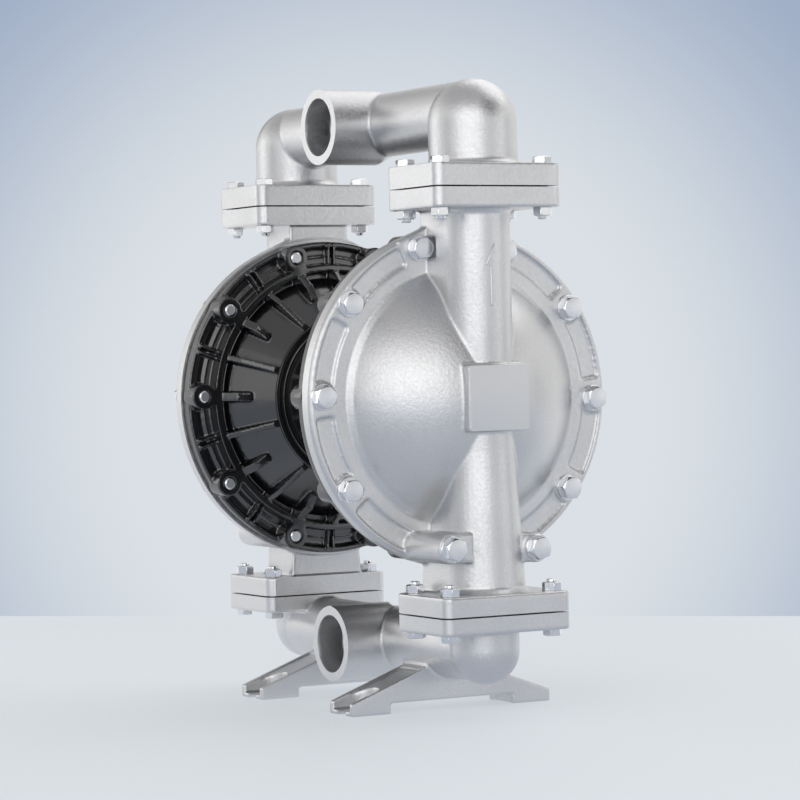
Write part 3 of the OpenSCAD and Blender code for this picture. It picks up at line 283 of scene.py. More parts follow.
def welded_copy(node):
    """Welded bmesh copy of a CAD node's mesh."""
    bm = bmesh.new()
    bm.from_mesh(frame["nodes"][node].data)
    bmesh.ops.remove_doubles(bm, verts=bm.verts[:], dist=0.5e-6)
    return bm


def only(geometry, kind):
    """The vertices, the edges or the faces among the geometry that an operator gives."""
    return [g for g in geometry if isinstance(g, kind)]


def joined_verts(verts):
    """The given vertices and all that edges join to them."""
    joined = list(verts)
    seen = set(joined)
    for vert in joined:
        for edge in vert.link_edges:
            other = edge.other_vert(vert)
            if other not in seen:
                seen.add(other)
                joined.append(other)
    return joined


def solid_boxes(node):
    """Lowest and highest corner of each separate solid in a CAD node."""
    bm = welded_copy(node)
    seen = set()
    boxes = []
    for start in bm.verts:
        if start in seen:
            continue
        solid = joined_verts([start])
        seen.update(solid)
        low = Vector(min(v.co[i] for v in solid) for i in range(3))
        high = Vector(max(v.co[i] for v in solid) for i in range(3))
        boxes.append((low, high))
    bm.free()
    return boxes


# A machined face is given as (axis, place along it, way that it looks, middle of its port or None).
def near(vert, axis, port):
    """True for a vertex round a port's axis, or for any vertex where there is no port."""
    if port is None:
        return True
    away = vert.co - port
    away[axis] = 0
    return away.length < PORT_ROUND


def run_past(bm, faces, run):
    """Moves each flat machined face outwards by run, so that it can be cut sharp again."""
    for axis, place, way, port in faces:
        for vert in bm.verts:
            if abs(vert.co[axis] - place) < FACE_DEPTH and near(vert, axis, port):
                vert.co[axis] += way * run


def cut_back(bm, faces):
    """Cuts the machined faces flat and closes them."""
    for axis, place, way, port in faces:
        point = Vector((0, 0, 0))
        point[axis] = place
        normal = Vector((0, 0, 0))
        normal[axis] = way
        verts = [v for v in bm.verts if near(v, axis, port)]
        if port is not None:
            verts = [v for v in verts if (v.co[axis] - place) * way > -PORT_DEPTH]
        chosen = set(verts)
        edges = [e for e in bm.edges if not chosen.isdisjoint(e.verts)]
        skin = [f for f in bm.faces if not chosen.isdisjoint(f.verts)]
        found = bmesh.ops.bisect_plane(
            bm, geom=verts + edges + skin, dist=1e-7,
            plane_co=point, plane_no=normal, clear_outer=True)
        rim = only(found["geom_cut"], bmesh.types.BMEdge)
        filled = bmesh.ops.triangle_fill(bm, use_beauty=True, edges=rim, normal=normal)["geom"]
        for face in only(filled, bmesh.types.BMFace):
            face.normal_update()
            if face.normal.dot(normal) < 0:
                face.normal_flip()


def evaluated(piece):
    """Mesh of a piece with its modifiers, which are then taken off."""
    graph = bpy.context.evaluated_depsgraph_get()
    mesh = bpy.data.meshes.new_from_object(piece.evaluated_get(graph))
    piece.modifiers.clear()
    return mesh


def rounded_copy(name, node, voxel, passes, share, machined=(), shape=None):
    """Copy of a CAD node with every edge rounded, as a casting or a moulding has them.

    shape moves the rounded skin's vertices, share of its triangles is kept, and the machined faces are cut.
    """
    bm = welded_copy(node)
    run_past(bm, machined, RUN_STEPS * voxel)
    piece = new_object(name, bm)
    remesh = piece.modifiers.new("Skin", "REMESH")
    remesh.mode = "VOXEL"
    remesh.voxel_size = voxel
    smooth = piece.modifiers.new("Fillets", "SMOOTH")
    smooth.factor = 0.5
    smooth.iterations = passes
    unrounded, piece.data = piece.data, evaluated(piece)
    bpy.data.meshes.remove(unrounded)
    if shape:
        shape(piece)
    thin = piece.modifiers.new("Thin", "DECIMATE")
    thin.ratio = share
    mesh = evaluated(piece)
    bm = bmesh.new()
    bm.from_mesh(mesh)
    cut_back(bm, machined)
    bm.to_mesh(piece.data)
    bm.free()
    bpy.data.meshes.remove(mesh)
    return piece


def mirrored(name, source):
    """Mirror image of a piece across the middle of the pump."""
    bm = bmesh.new()
    bm.from_mesh(source.data)
    bmesh.ops.transform(bm, matrix=Matrix.Scale(-1, 4, (1, 0, 0)), verts=bm.verts[:])
    bmesh.ops.reverse_faces(bm, faces=bm.faces[:])
    return new_object(name, bm)


class Surface:
    """A Principled material with small helpers that place texture nodes in a row."""

    def __init__(self, name, colour, metallic, roughness):
        self.material = bpy.data.materials.new(name)
        self.material.use_nodes = True
        self.tree = self.material.node_tree
        self.shader = self.tree.nodes["Principled BSDF"]
        self.shader.inputs["Base Color"].default_value = (*colour, 1)
        self.shader.inputs["Metallic"].default_value = metallic
        self.shader.inputs["Roughness"].default_value = roughness
        self.place = self.add("ShaderNodeTexCoord").outputs["Object"]

    def add(self, kind):
        """New node, set beside the last one."""
        node = self.tree.nodes.new(kind)
        node.location = (-260 * len(self.tree.nodes), 0)
        return node

    def link(self, source, target):
        """Joins two sockets."""
        self.tree.links.new(source, target)

    def noise(self, size, detail=3, stretch=(1, 1, 1)):
        """Noise on Object coordinates, with features of about that size in metres."""
        mapping = self.add("ShaderNodeMapping")
        mapping.inputs["Scale"].default_value = stretch
        texture = self.add("ShaderNodeTexNoise")
        texture.inputs["Scale"].default_value = 1 / size
        texture.inputs["Detail"].default_value = detail
        self.link(self.place, mapping.inputs["Vector"])
        self.link(mapping.outputs["Vector"], texture.inputs["Vector"])
        return texture.outputs["Fac"]

    def ranged(self, source, low, high, start=0.3, end=0.7):
        """Value that runs from low to high as the source runs from start to end."""
        node = self.add("ShaderNodeMapRange")
        node.inputs["From Min"].default_value = start
        node.inputs["From Max"].default_value = end
        node.inputs["To Min"].default_value = low
        node.inputs["To Max"].default_value = high
        self.link(source, node.inputs["Value"])
        return node.outputs["Result"]

    def vary_colour(self, source, dark, light):
        """Colour that drifts between two close shades."""
        ramp = self.add("ShaderNodeValToRGB")
        ramp.color_ramp.elements[0].position = 0.3
        ramp.color_ramp.elements[0].color = (*dark, 1)
        ramp.color_ramp.elements[1].position = 0.7
        ramp.color_ramp.elements[1].color = (*light, 1)
        self.link(source, ramp.inputs["Fac"])
        self.link(ramp.outputs["Color"], self.shader.inputs["Base Color"])

    def bump(self, *layers):
        """Stacks bump layers, each a height source and its depth in metres."""
        last = None
        for source, depth in layers:
            node = self.add("ShaderNodeBump")
            node.inputs["Distance"].default_value = depth
            self.link(source, node.inputs["Height"])
            if last:
                self.link(last, node.inputs["Normal"])
            last = node.outputs["Normal"]
        self.link(last, self.shader.inputs["Normal"])


def shade(colour, factor):
    """Darker or lighter version of a colour."""
    return tuple(min(1, c * factor) for c in colour)


def cast_stainless():
    """Blasted stainless casting: soft orange peel, fine grain and slow drifts in tone."""
    found = bpy.data.materials.get("cast_stainless_skin")
    if found:
        return found
    cast = bpy.context.scene.pump_casting
    steel = Surface("cast_stainless_skin", cast.colour, 1, cast.roughness)
    drift = steel.noise(60 * MM, 2)
    peel = steel.noise(2.4 * MM, 2)
    grain = steel.noise(1.5 * MM, 2)
    speckle = steel.add("ShaderNodeMath")
    speckle.operation = "MULTIPLY_ADD"
    speckle.inputs[1].default_value = 0.5
    steel.link(grain, speckle.inputs[0])
    steel.link(steel.ranged(drift, 0.1, 0.4), speckle.inputs[2])
    steel.vary_colour(speckle.outputs["Value"], shade(cast.colour, 0.93), shade(cast.colour, 1.05))
    steel.link(steel.ranged(peel, cast.roughness - 0.05, cast.roughness + 0.05),
               steel.shader.inputs["Roughness"])
    steel.bump((peel, cast.peel), (grain, cast.peel * 0.3))
    return steel.material


def black_moulding():
    """Glass-filled black plastic with a faint moulded grain."""
    found = bpy.data.materials.get("black_moulding_skin")
    if found:
        return found
    mould = bpy.context.scene.pump_moulding
    plastic = Surface("black_moulding_skin", mould.colour, 0, mould.roughness)
    flow = plastic.noise(45 * MM, 2)
    grain = plastic.noise(0.9 * MM, 2)
    plastic.vary_colour(flow, shade(mould.colour, 0.8), shade(mould.colour, 1.25))
    plastic.link(plastic.ranged(flow, mould.roughness - 0.04, mould.roughness + 0.05),
                 plastic.shader.inputs["Roughness"])
    plastic.shader.inputs["Specular IOR Level"].default_value = 1.0
    plastic.shader.inputs["IOR"].default_value = 1.62
    plastic.bump((grain, 0.012 * MM), (plastic.noise(9 * MM, 1), 0.05 * MM))
    return plastic.material


def polished_steel(axis=0):
    """Bright bolt steel: drawn sides, and duller turned faces that look along an axis."""
    name = "polished_steel_" + "xyz"[axis]
    found = bpy.data.materials.get(name)
    if found:
        return found
    bolts = bpy.context.scene.pump_fasteners
    steel = Surface(name, bolts.colour, 1, bolts.roughness)
    wear = steel.noise(5 * MM, 3)
    steel.vary_colour(wear, shade(bolts.colour, 0.95), shade(bolts.colour, 1.03))
    parts = steel.add("ShaderNodeSeparateXYZ")
    steel.link(steel.add("ShaderNodeTexCoord").outputs["Normal"], parts.inputs["Vector"])
    size = steel.add("ShaderNodeMath")
    size.operation = "ABSOLUTE"
    steel.link(parts.outputs[axis], size.inputs[0])
    turned_face = steel.ranged(
        size.outputs["Value"], bolts.roughness, bolts.top_roughness, *TURNED_SPAN)
    grain = steel.add("ShaderNodeMath")
    grain.operation = "MULTIPLY_ADD"
    grain.inputs[1].default_value = 0.12
    steel.link(wear, grain.inputs[0])
    steel.link(turned_face, grain.inputs[2])
    steel.link(grain.outputs["Value"], steel.shader.inputs["Roughness"])
    steel.bump((steel.noise(1.1 * MM, 2), 0.012 * MM))
    return steel.material


def satin_plate():
    """Brushed sheet steel of the blank plates."""
    found = bpy.data.materials.get("satin_plate_skin")
    if found:
        return found
    cast = bpy.context.scene.pump_casting
    steel = Surface("satin_plate_skin", shade(cast.colour, 1.08), 1, 0.5)
    brushed = steel.noise(1.5 * MM, 2, (1, 1, 14))
    steel.vary_colour(brushed, shade(cast.colour, 1.05), shade(cast.colour, 1.12))
    steel.link(steel.ranged(brushed, 0.46, 0.56), steel.shader.inputs["Roughness"])
    steel.bump((brushed, 0.01 * MM))
    return steel.material


def plain_finish(name, colour, metallic, roughness, grain, depth):
    """Material for the inner and rear pieces: a base colour that drifts, and a grain of its own size."""
    found = bpy.data.materials.get(name)
    if found:
        return found
    surface = Surface(name, colour, metallic, roughness)
    drift = surface.noise(14 * MM, 2)
    surface.vary_colour(drift, shade(colour, 0.9), shade(colour, 1.1))
    surface.link(surface.ranged(drift, roughness - 0.05, roughness + 0.06),
                 surface.shader.inputs["Roughness"])
    surface.bump((surface.noise(grain, 2), depth))
    return surface.material


# Finishes of the plain pieces, as colour, metallic, roughness, size of the grain and its depth
PLAIN = {
    "rubber": ((0.02, 0.02, 0.021), 0, 0.62, 0.8 * MM, 0.03 * MM),
    "seal_rubber": ((0.015, 0.015, 0.016), 0, 0.5, 0.6 * MM, 0.02 * MM),
    "turned_steel": ((0.62, 0.62, 0.63), 1, 0.26, 0.5 * MM, 0.01 * MM),
    "plate_aluminium": ((0.6, 0.61, 0.63), 1, 0.4, 0.8 * MM, 0.03 * MM),
    "bearing_bronze": ((0.55, 0.36, 0.16), 1, 0.35, 0.6 * MM, 0.015 * MM),
    "centre_moulding": ((0.018, 0.018, 0.02), 0, 0.42, 1.0 * MM, 0.03 * MM),
    "ball_plastic": ((0.82, 0.82, 0.8), 0, 0.35, 1.0 * MM, 0.01 * MM),
}


def slot_material(slot):
    """The material that stands for a slot of the record."""
    if slot == "cast_stainless":
        return cast_stainless()
    if slot == "black_moulding":
        return black_moulding()
    if slot == "bolt_steel":
        return polished_steel()
    return plain_finish(slot + "_skin", *PLAIN[slot])


def hexagon_reach(angle, half_width):
    """Distance from the middle of a hexagon to its outline at an angle."""
    turn = (angle + math.pi / 6) % (math.pi / 3) - math.pi / 6
    return half_width / math.cos(turn)


def add_hexagon(bm, half_width, height, place, crown=0.0):
    """Hexagon head or nut along local +Z, with its corners turned off at the far face."""
    flat_r = half_width * TOP_SHARE
    ring = bmesh.ops.create_circle(bm, cap_ends=False, radius=flat_r, segments=HEXAGON_STEPS)["verts"]
    edges = list(dict.fromkeys(e for v in ring for e in v.link_edges))
    for vert in ring:
        vert.co.z = height
    outer = bmesh.ops.extrude_edge_only(bm, edges=edges)["geom"]
    for vert in only(outer, bmesh.types.BMVert):
        reach = hexagon_reach(math.atan2(vert.co.y, vert.co.x), half_width)
        vert.co.xy = vert.co.xy.normalized() * reach
        vert.co.z = height - (reach - flat_r) * math.tan(TOP_SLOPE)
    sides = bmesh.ops.extrude_edge_only(bm, edges=only(outer, bmesh.types.BMEdge))["geom"]
    for vert in only(sides, bmesh.types.BMVert):
        vert.co.z = 0
    top = bmesh.ops.contextual_create(bm, geom=edges)["faces"]
    bmesh.ops.inset_region(bm, faces=top, thickness=flat_r * TOP_INSET, depth=0)
    for face in top:
        for vert in face.verts:
            vert.co.z += crown
    bmesh.ops.contextual_create(bm, geom=only(sides, bmesh.types.BMEdge))
    bmesh.ops.transform(bm, matrix=place, verts=joined_verts(ring))


def turned(bm, profile, steps, place, closed=True):
    """Surface turned about local Z from (radius, height) points, whose last joins the first if closed."""
    verts = [bm.verts.new((r, 0, z)) for r, z in profile]
    ends = verts[1:] + verts[:1] if closed else verts[1:]
    edges = [bm.edges.new(pair) for pair in zip(verts, ends)]
    bmesh.ops.spin(
        bm, geom=verts + edges, cent=(0, 0, 0), axis=(0, 0, 1), angle=math.tau, steps=steps,
        use_merge=True, use_duplicate=False)
    bmesh.ops.transform(bm, matrix=place, verts=joined_verts(verts))


def add_thread(bm, radius, length, pitch, place):
    """Threaded end along local +Z: crests and roots turned round the axis, with a chamfered tip."""
    root = radius - 0.6 * pitch
    points = [(radius, 0.0)]
    count = max(1, int((length - pitch) / pitch))
    for i in range(count):
        z = i * pitch
        points += [(radius, z + 0.12 * pitch), (root, z + 0.5 * pitch), (radius, z + 0.88 * pitch)]
    points += [(radius - 0.2 * pitch, length - 0.5 * pitch), (root - 0.2 * pitch, length), (0.0, length)]
    turned(bm, points, THREAD_STEPS, place, closed=False)


def add_bolt(bm, seat, way, turn, head, shank_r, length, pitch):
    """Bolt whose head stands on its seat and looks along way, with its thread behind it."""
    half_width, head_h, crown = head
    add_hexagon(bm, half_width, head_h, facing(seat, way, turn), crown)
    add_thread(bm, shank_r, length, pitch, facing(seat, -way))


def add_washer(bm, inner, outer, thick, place, edge=0.3 * MM):
    """Washer along local +Z with rounded outer edges."""
    profile = (
        (inner, 0), (outer - edge, 0), (outer, edge),
        (outer, thick - edge), (outer - edge, thick), (inner, thick))
    turned(bm, profile, WASHER_STEPS, place)


def facing(place, direction, turn=0.0):
    """Matrix that puts a piece at a place with its local +Z along direction."""
    aim = Vector(direction).to_track_quat("Z", "Y").to_matrix().to_4x4()
    return Matrix.Translation(place) @ aim @ Matrix.Rotation(turn, 4, "Z")


def closed_piece(name, bm, bevel=0.0):
    """Object from a bmesh whose doubles are merged and whose faces point outwards."""
    bmesh.ops.remove_doubles(bm, verts=bm.verts[:], dist=1e-6)
    bmesh.ops.recalc_face_normals(bm, faces=bm.faces[:])
    piece = new_object(name, bm)
    if bevel:
        modifier = piece.modifiers.new("Corners", "BEVEL")
        modifier.width = bevel
        modifier.segments = 2
        modifier.limit_method = "ANGLE"
        modifier.angle_limit = math.radians(40)
        modifier.harden_normals = False
    return piece


class PUMP_OT_fluid_covers(bpy.types.Operator):
    """Casts the two domed fluid covers"""

    bl_idname = "pump.fluid_covers"
    bl_label = "Fluid Covers"

    def execute(self, context):
        cast = context.scene.pump_casting
        machined = (
            (0, BACK_X, -1, None),
            (2, COVER_TOP - JOINT_GAP, 1, None),
            (2, COVER_BOTTOM + JOINT_GAP, -1, None),
        )
        right = rounded_copy(
            "right_cover_casting", "right_fluid_cover", cast.voxel, cast.passes, COVER_SHARE, machined)
        left = mirrored("left_cover_casting", right)
        finish_piece(right, "housing", cast_stainless(), ["right_fluid_cover"])
        finish_piece(left, "housing", cast_stainless(), ["left_fluid_cover"])
        return {"FINISHED"}


class PUMP_OT_manifolds(bpy.types.Operator):
    """Casts the outlet manifold and the inlet manifold with its feet"""

    bl_idname = "pump.manifolds"
    bl_label = "Manifolds"

    def execute(self, context):
        cast = context.scene.pump_casting
        planes = {
            "outlet": (2, OUTLET_BOTTOM + JOINT_GAP, -1, None),
            "inlet": (2, INLET_TOP - JOINT_GAP, 1, None),
        }
        for name, plane in planes.items():
            machined = (plane, (1, PORT_Y, -1, PORTS[name + "_port"]))
            piece = rounded_copy(
                name + "_casting", name + "_manifold", cast.voxel, cast.passes, MANIFOLD_SHARE, machined)
            finish_piece(piece, "housing", cast_stainless(), [name + "_manifold"])
        return {"FINISHED"}


def cad_cone_x(radius):
    """Place along the shaft of the CAD cone's outside at a radius."""
    share = (radius - NECK_R) / (CONE_R - NECK_R)
    return AIR_NECK_X + share * (AIR_FACE_X - CONE_SET_BACK - AIR_NECK_X)


def moulded_cone_x(radius):
    """Place along the shaft of the moulding's cone, which is flatter and ends at a rim."""
    share = (radius - RIM_R) / (CONE_R - RIM_R)
    return RIM_X + share * (AIR_FACE_X - CONE_SET_BACK - RIM_X)


def shortened(radius, off_rib):
    """Radius at which the moulding has what the CAD has at a radius, beside a short rib's middle line."""
    inside = (radius - NECK_R) / (SHORT_RIB_END - NECK_R)
    outside = (CONE_R - radius) / (CONE_R - SHORT_RIB_END - SHORT_RIB_T)
    run = SHORTER_BY * max(0, min(1, inside, outside))
    fade = min(1, max(0, (2 * SHORT_RIB_T - off_rib) / SHORT_RIB_T))
    return radius + run * fade


def flatten_cone(piece):
    """Moves the outside of the cone to the moulding's flatter cone, and draws its short ribs back."""
    step = math.tau / BOLT_COUNT
    low, high = solid_boxes("right_cover_bolts")[0]
    bolt_turn = math.atan2((low.z + high.z) / 2 - AXIS_Z, (low.y + high.y) / 2)
    for vert in piece.data.vertices:
        up = vert.co.z - AXIS_Z
        radius = math.hypot(vert.co.y, up)
        height = cad_cone_x(radius) - vert.co.x
        if not NECK_R - CONE_IN < radius < CONE_R or height < -CONE_BEHIND:
            continue
        angle = math.atan2(up, vert.co.y)
        from_bolt = (angle - bolt_turn + step / 2) % step - step / 2
        drawn = shortened(radius, abs(from_bolt) * radius)
        vert.co.x = moulded_cone_x(max(drawn, RIM_R - RIM_RUN_IN)) - height
        vert.co.y += (drawn - radius) * math.cos(angle - from_bolt)
        vert.co.z += (drawn - radius) * math.sin(angle - from_bolt)


def neck_ring(name, way):
    """Rim at the small end of a cone and the neck inside it, turned in one piece."""
    bm = bmesh.new()
    back = NECK_CUT_X - AIR_NECK_X
    bore_r = NECK_R - NECK_WALL
    profile = (
        (bore_r, back), (RIM_R + 0.6 * MM, back), (RIM_R + 0.7 * MM, back - 0.6 * LIP_H),
        (RIM_R + 0.2 * MM, back - LIP_H), (RIM_R - 0.8 * MM, back - 1.15 * LIP_H),
        (RIM_R - 1.8 * MM, back - LIP_H), (RIM_R - 2.4 * MM, back - 0.3 * LIP_H),
        (NECK_R + 2.5 * MM, back - 0.1 * LIP_H), (NECK_R + 0.8 * MM, back - 0.5 * LIP_H),
        (NECK_R, back - 1.3 * LIP_H), (NECK_R, 0.6 * MM), (NECK_R - 0.6 * MM, 0), (bore_r, 0),
    )
    turned(bm, profile, NECK_STEPS, facing((way * AIR_NECK_X, 0, AXIS_Z), (way, 0, 0)))
    return closed_piece(name, bm)


class PUMP_OT_air_covers(bpy.types.Operator):
    """Moulds the two black air covers with the rims of their necks"""

    bl_idname = "pump.air_covers"
    bl_label = "Air Covers"

    def execute(self, context):
        mould = context.scene.pump_moulding
        machined = ((0, AIR_FACE_X, 1, None), (0, NECK_CUT_X, -1, None))
        right = rounded_copy(
            "right_cover_moulding", "right_air_cover", mould.voxel, mould.passes, AIR_COVER_SHARE, machined,
            flatten_cone)
        left = mirrored("left_cover_moulding", right)
        for piece, side in ((right, "right"), (left, "left")):
            finish_piece(piece, "housing", black_moulding(), [side + "_air_cover"])
            ring = neck_ring(side + "_cover_neck", SIDES[side])
            finish_piece(ring, "housing", black_moulding())
        return {"FINISHED"}


class PUMP_OT_cover_bolts(bpy.types.Operator):
    """Makes the cover bolts with their washers and thread ends"""

    bl_idname = "pump.cover_bolts"
    bl_label = "Cover Bolts"

    def execute(self, context):
        settings = context.scene.pump_fasteners
        head_h = COVER_HEAD[1]
        for side, sign in SIDES.items():
            way = Vector((sign, 0, 0))
            bolts = bmesh.new()
            washers = bmesh.new()
            for low, high in solid_boxes(side + "_cover_washers"):
                middle = (low + high) / 2
                seat = (low.x if sign > 0 else high.x, middle.y, middle.z)
                add_washer(washers, WASHER_HOLE_R, (high.y - low.y) / 2, high.x - low.x, facing(seat, way))
            for low, high in solid_boxes(side + "_cover_bolts"):
                middle = (low + high) / 2
                tip_x, end_x = (high.x, low.x) if sign > 0 else (low.x, high.x)
                seat = (tip_x - sign * head_h, middle.y, middle.z)
                turn = math.atan2(middle.z - AXIS_Z, middle.y)
                add_bolt(bolts, seat, way, turn, COVER_HEAD, COVER_SHANK_R,
                         abs(tip_x - end_x) - head_h, settings.pitch * COVER_PITCH)
            piece = closed_piece(side + "_cover_bolt_set", bolts, settings.bevel)
            finish_piece(piece, "housing", polished_steel(), [side + "_cover_bolts"], FACET)
            piece = closed_piece(side + "_cover_washer_set", washers)
            finish_piece(piece, "housing", polished_steel(), [side + "_cover_washers"])
        return {"FINISHED"}


class PUMP_OT_flange_bolts(bpy.types.Operator):
    """Makes the flange bolts and their nuts"""

    bl_idname = "pump.flange_bolts"
    bl_label = "Flange Bolts"

    def execute(self, context):
        settings = context.scene.pump_fasteners
        head_h = FLANGE_HEAD[1]
        for name, sign in (("outlet", 1), ("inlet", -1)):
            way = Vector((0, 0, sign))
            bolts = bmesh.new()
            nuts = bmesh.new()
            for low, high in solid_boxes(name + "_flange_bolts"):
                middle = (low + high) / 2
                tip_z, end_z = (high.z, low.z) if sign > 0 else (low.z, high.z)
                seat = (middle.x, middle.y, tip_z - sign * head_h)
                add_bolt(bolts, seat, way, FLANGE_TURN, FLANGE_HEAD, FLANGE_SHANK_R,
                         abs(seat[2] - end_z), settings.pitch)
            for low, high in solid_boxes(name + "_flange_nuts"):
                middle = (low + high) / 2
                seat = (middle.x, middle.y, high.z if sign > 0 else low.z)
                add_hexagon(nuts, FLANGE_HEAD[0], high.z - low.z, facing(seat, -way, FLANGE_TURN))
            piece = closed_piece(name + "_flange_bolt_set", bolts, settings.bevel)
            finish_piece(piece, "housing", polished_steel(2), [name + "_flange_bolts"], FACET)
            piece = closed_piece(name + "_flange_nut_set", nuts, settings.bevel)
            finish_piece(piece, "housing", polished_steel(2), [name + "_flange_nuts"], FACET)
        return {"FINISHED"}


class PUMP_OT_plates(bpy.types.Operator):
    """Fixes a blank plate on each cover's pad and raises a flow arrow on each upper neck"""

    bl_idname = "pump.plates"
    bl_label = "Plates and Arrows"

    def execute(self, context):
        for side, way in SIDES.items():
            bm = bmesh.new()
            bmesh.ops.create_cube(bm, size=1)
            bmesh.ops.scale(bm, vec=(PLATE_T, PLATE_W, PLATE_W * PLATE_RATIO), verts=bm.verts[:])
            bmesh.ops.translate(bm, vec=(way * (PAD_X + PLATE_T / 2), 0, AXIS_Z), verts=bm.verts[:])
            corners = [e for e in bm.edges if abs((e.verts[0].co - e.verts[1].co).x) > PLATE_T / 2]
            bmesh.ops.bevel(
                bm, geom=corners, offset=PLATE_CORNER_R, segments=5, profile=0.5, affect="EDGES", material=-1)
            rim = [e for e in bm.edges if e.calc_face_angle() > math.pi / 3]
            bmesh.ops.bevel(
                bm, geom=rim, offset=PLATE_EDGE_R, segments=3, profile=0.5, affect="EDGES", material=-1)
            plate = closed_piece(side + "_blank_plate", bm)
            finish_piece(plate, "housing", satin_plate())
            bm = bmesh.new()
            for start, end in ARROW_LINES:
                self.add_ridge(bm, way, start, end)
            arrow = new_object(side + "_flow_arrow", bm)
            finish_piece(arrow, "housing", cast_stainless())
        return {"FINISHED"}

    def add_ridge(self, bm, way, start, end):
        """Round ridge between two points of the neck's front, given as (across, above the shaft)."""
        ends = []
        for across, above in (start, end):
            out = NECK_X + math.sqrt(NECK_FRONT_R ** 2 - across ** 2)
            ends.append(Vector((way * out, across, AXIS_Z + above)))
        run = ends[1] - ends[0]
        made = bmesh.ops.create_uvsphere(bm, u_segments=12, v_segments=10, radius=ARROW_R)["verts"]
        for vert in made:
            if vert.co.z > 0:
                vert.co.z += run.length
        bmesh.ops.transform(bm, matrix=facing(ends[0], run), verts=made)


class PUMP_OT_inner_pieces(bpy.types.Operator):
    """Gives the inner pieces and the air valve their finishes"""

    bl_idname = "pump.inner_pieces"
    bl_label = "Inner Pieces"

    def execute(self, context):
        slots = {row["node"]: row["material_slot"] for row in frame["record"]["subparts"]}
        for name, node in frame["nodes"].items():
            if node.hide_render:
                continue
            node.data.materials.clear()
            node.data.materials.append(slot_material(slots[name]))
        return {"FINISHED"}


def around(azimuth, elevation, distance, centre=(0, 0, 0.25)):
    """Place at an azimuth and elevation in degrees about the pump. Azimuth 0 is in front of the ports."""
    a, e = math.radians(azimuth), math.radians(elevation)
    way = Vector((math.sin(a) * math.cos(e), -math.cos(a) * math.cos(e), math.sin(e)))
    return Vector(centre) + way * distance


# Place that the lamps point at
LAMP_AIM = Vector((0.05, 0, 0.26))
# Lamps, as name, level, azimuth, elevation, distance, width and height
SOFT_LAMPS = (
    ("key", 0.72, 55, 14, 1.9, 2.1, 1.9),
    ("over_back", 0.95, -165, 56, 1.9, 2.2, 1.3),
    ("left_side", 0.8, -50, 12, 2.2, 0.8, 1.0),
    ("right_back", 0.25, 135, 2, 2.2, 1.6, 1.8),
)
# Width and height in pixels of the picture that places are given in, and the camera sensor's in millimetres
FRAME = 800
SENSOR = 36
# Azimuth of the camera's side, and the span along it in which the near floor in reflections sets in
CAMERA_SIDE = 61
NEAR_FLOOR_SPAN = (-0.35, 0.12)
# Diffuse part of the floor's paint to its colour, and share of its even part, which no lamp changes
PAINT_LIFT = 1.2
EVEN_SHARE = 0.55
# Middle of the background's glow, and where on the unit sphere it starts to fade and ends
GLOW_WAY = (-0.8779, 0.4783, -0.0219)
GLOW_SPAN = (0.0756, 0.199)
# Heights on the unit sphere between which the walls turn into the ceiling
CEILING_SPAN = (0.3, 0.75)
# Dark panels, as azimuth and elevation, and where on the unit sphere they start to fade and end
PANELS = (
    ((115, 34), (0.2, 0.55)),
    ((-10, 6), (0.05, 0.2)),
    ((-98, 16), (0.08, 0.3)),
    ((158, 4), (0.05, 0.22)),
)


def floor_paint(stage):
    """Flat pale paint that keeps the pump's shadow; for every ray but the camera's the floor glows instead
    with a painted reflection, darker in front of the pump than behind it.
    """
    paint = Surface("floor_paint", shade(stage.floor, PAINT_LIFT), 0, 0.6)
    paint.bump((paint.noise(1.5 * MM, 2), 0.01 * MM))
    tree = paint.tree
    path = tree.nodes.new("ShaderNodeLightPath")
    even = tree.nodes.new("ShaderNodeEmission")
    even.inputs["Color"].default_value = (*stage.floor, 1)
    forward = tree.nodes.new("ShaderNodeVectorMath")
    forward.operation = "DOT_PRODUCT"
    forward.inputs[1].default_value = tuple(around(CAMERA_SIDE, 0, 1, (0, 0, 0)))
    paint.link(paint.place, forward.inputs[0])
    fade = paint.ranged(forward.outputs["Value"], 0, 1, *NEAR_FLOOR_SPAN)
    mix = tree.nodes.new("ShaderNodeMix")
    mix.data_type = "RGBA"
    mix.inputs[6].default_value = (*stage.far_floor_in_metal, 1)
    mix.inputs[7].default_value = (*stage.floor_in_metal, 1)
    # Glow that every ray but the camera's sees: a painted floor reflection for the metal, darker in front of
    # the pump
    painted_reflection_glow = tree.nodes.new("ShaderNodeEmission")
    paint.link(fade, mix.inputs[0])
    paint.link(mix.outputs[2], painted_reflection_glow.inputs["Color"])
    part = tree.nodes.new("ShaderNodeMixShader")
    part.inputs["Fac"].default_value = EVEN_SHARE
    whole = tree.nodes.new("ShaderNodeMixShader")
    paint.link(paint.shader.outputs["BSDF"], part.inputs[1])
    paint.link(even.outputs["Emission"], part.inputs[2])
    paint.link(path.outputs["Is Camera Ray"], whole.inputs["Fac"])
    paint.link(painted_reflection_glow.outputs["Emission"], whole.inputs[1])
    paint.link(part.outputs["Shader"], whole.inputs[2])
    paint.link(whole.outputs["Shader"], tree.nodes["Material Output"].inputs["Surface"])
    return paint.material


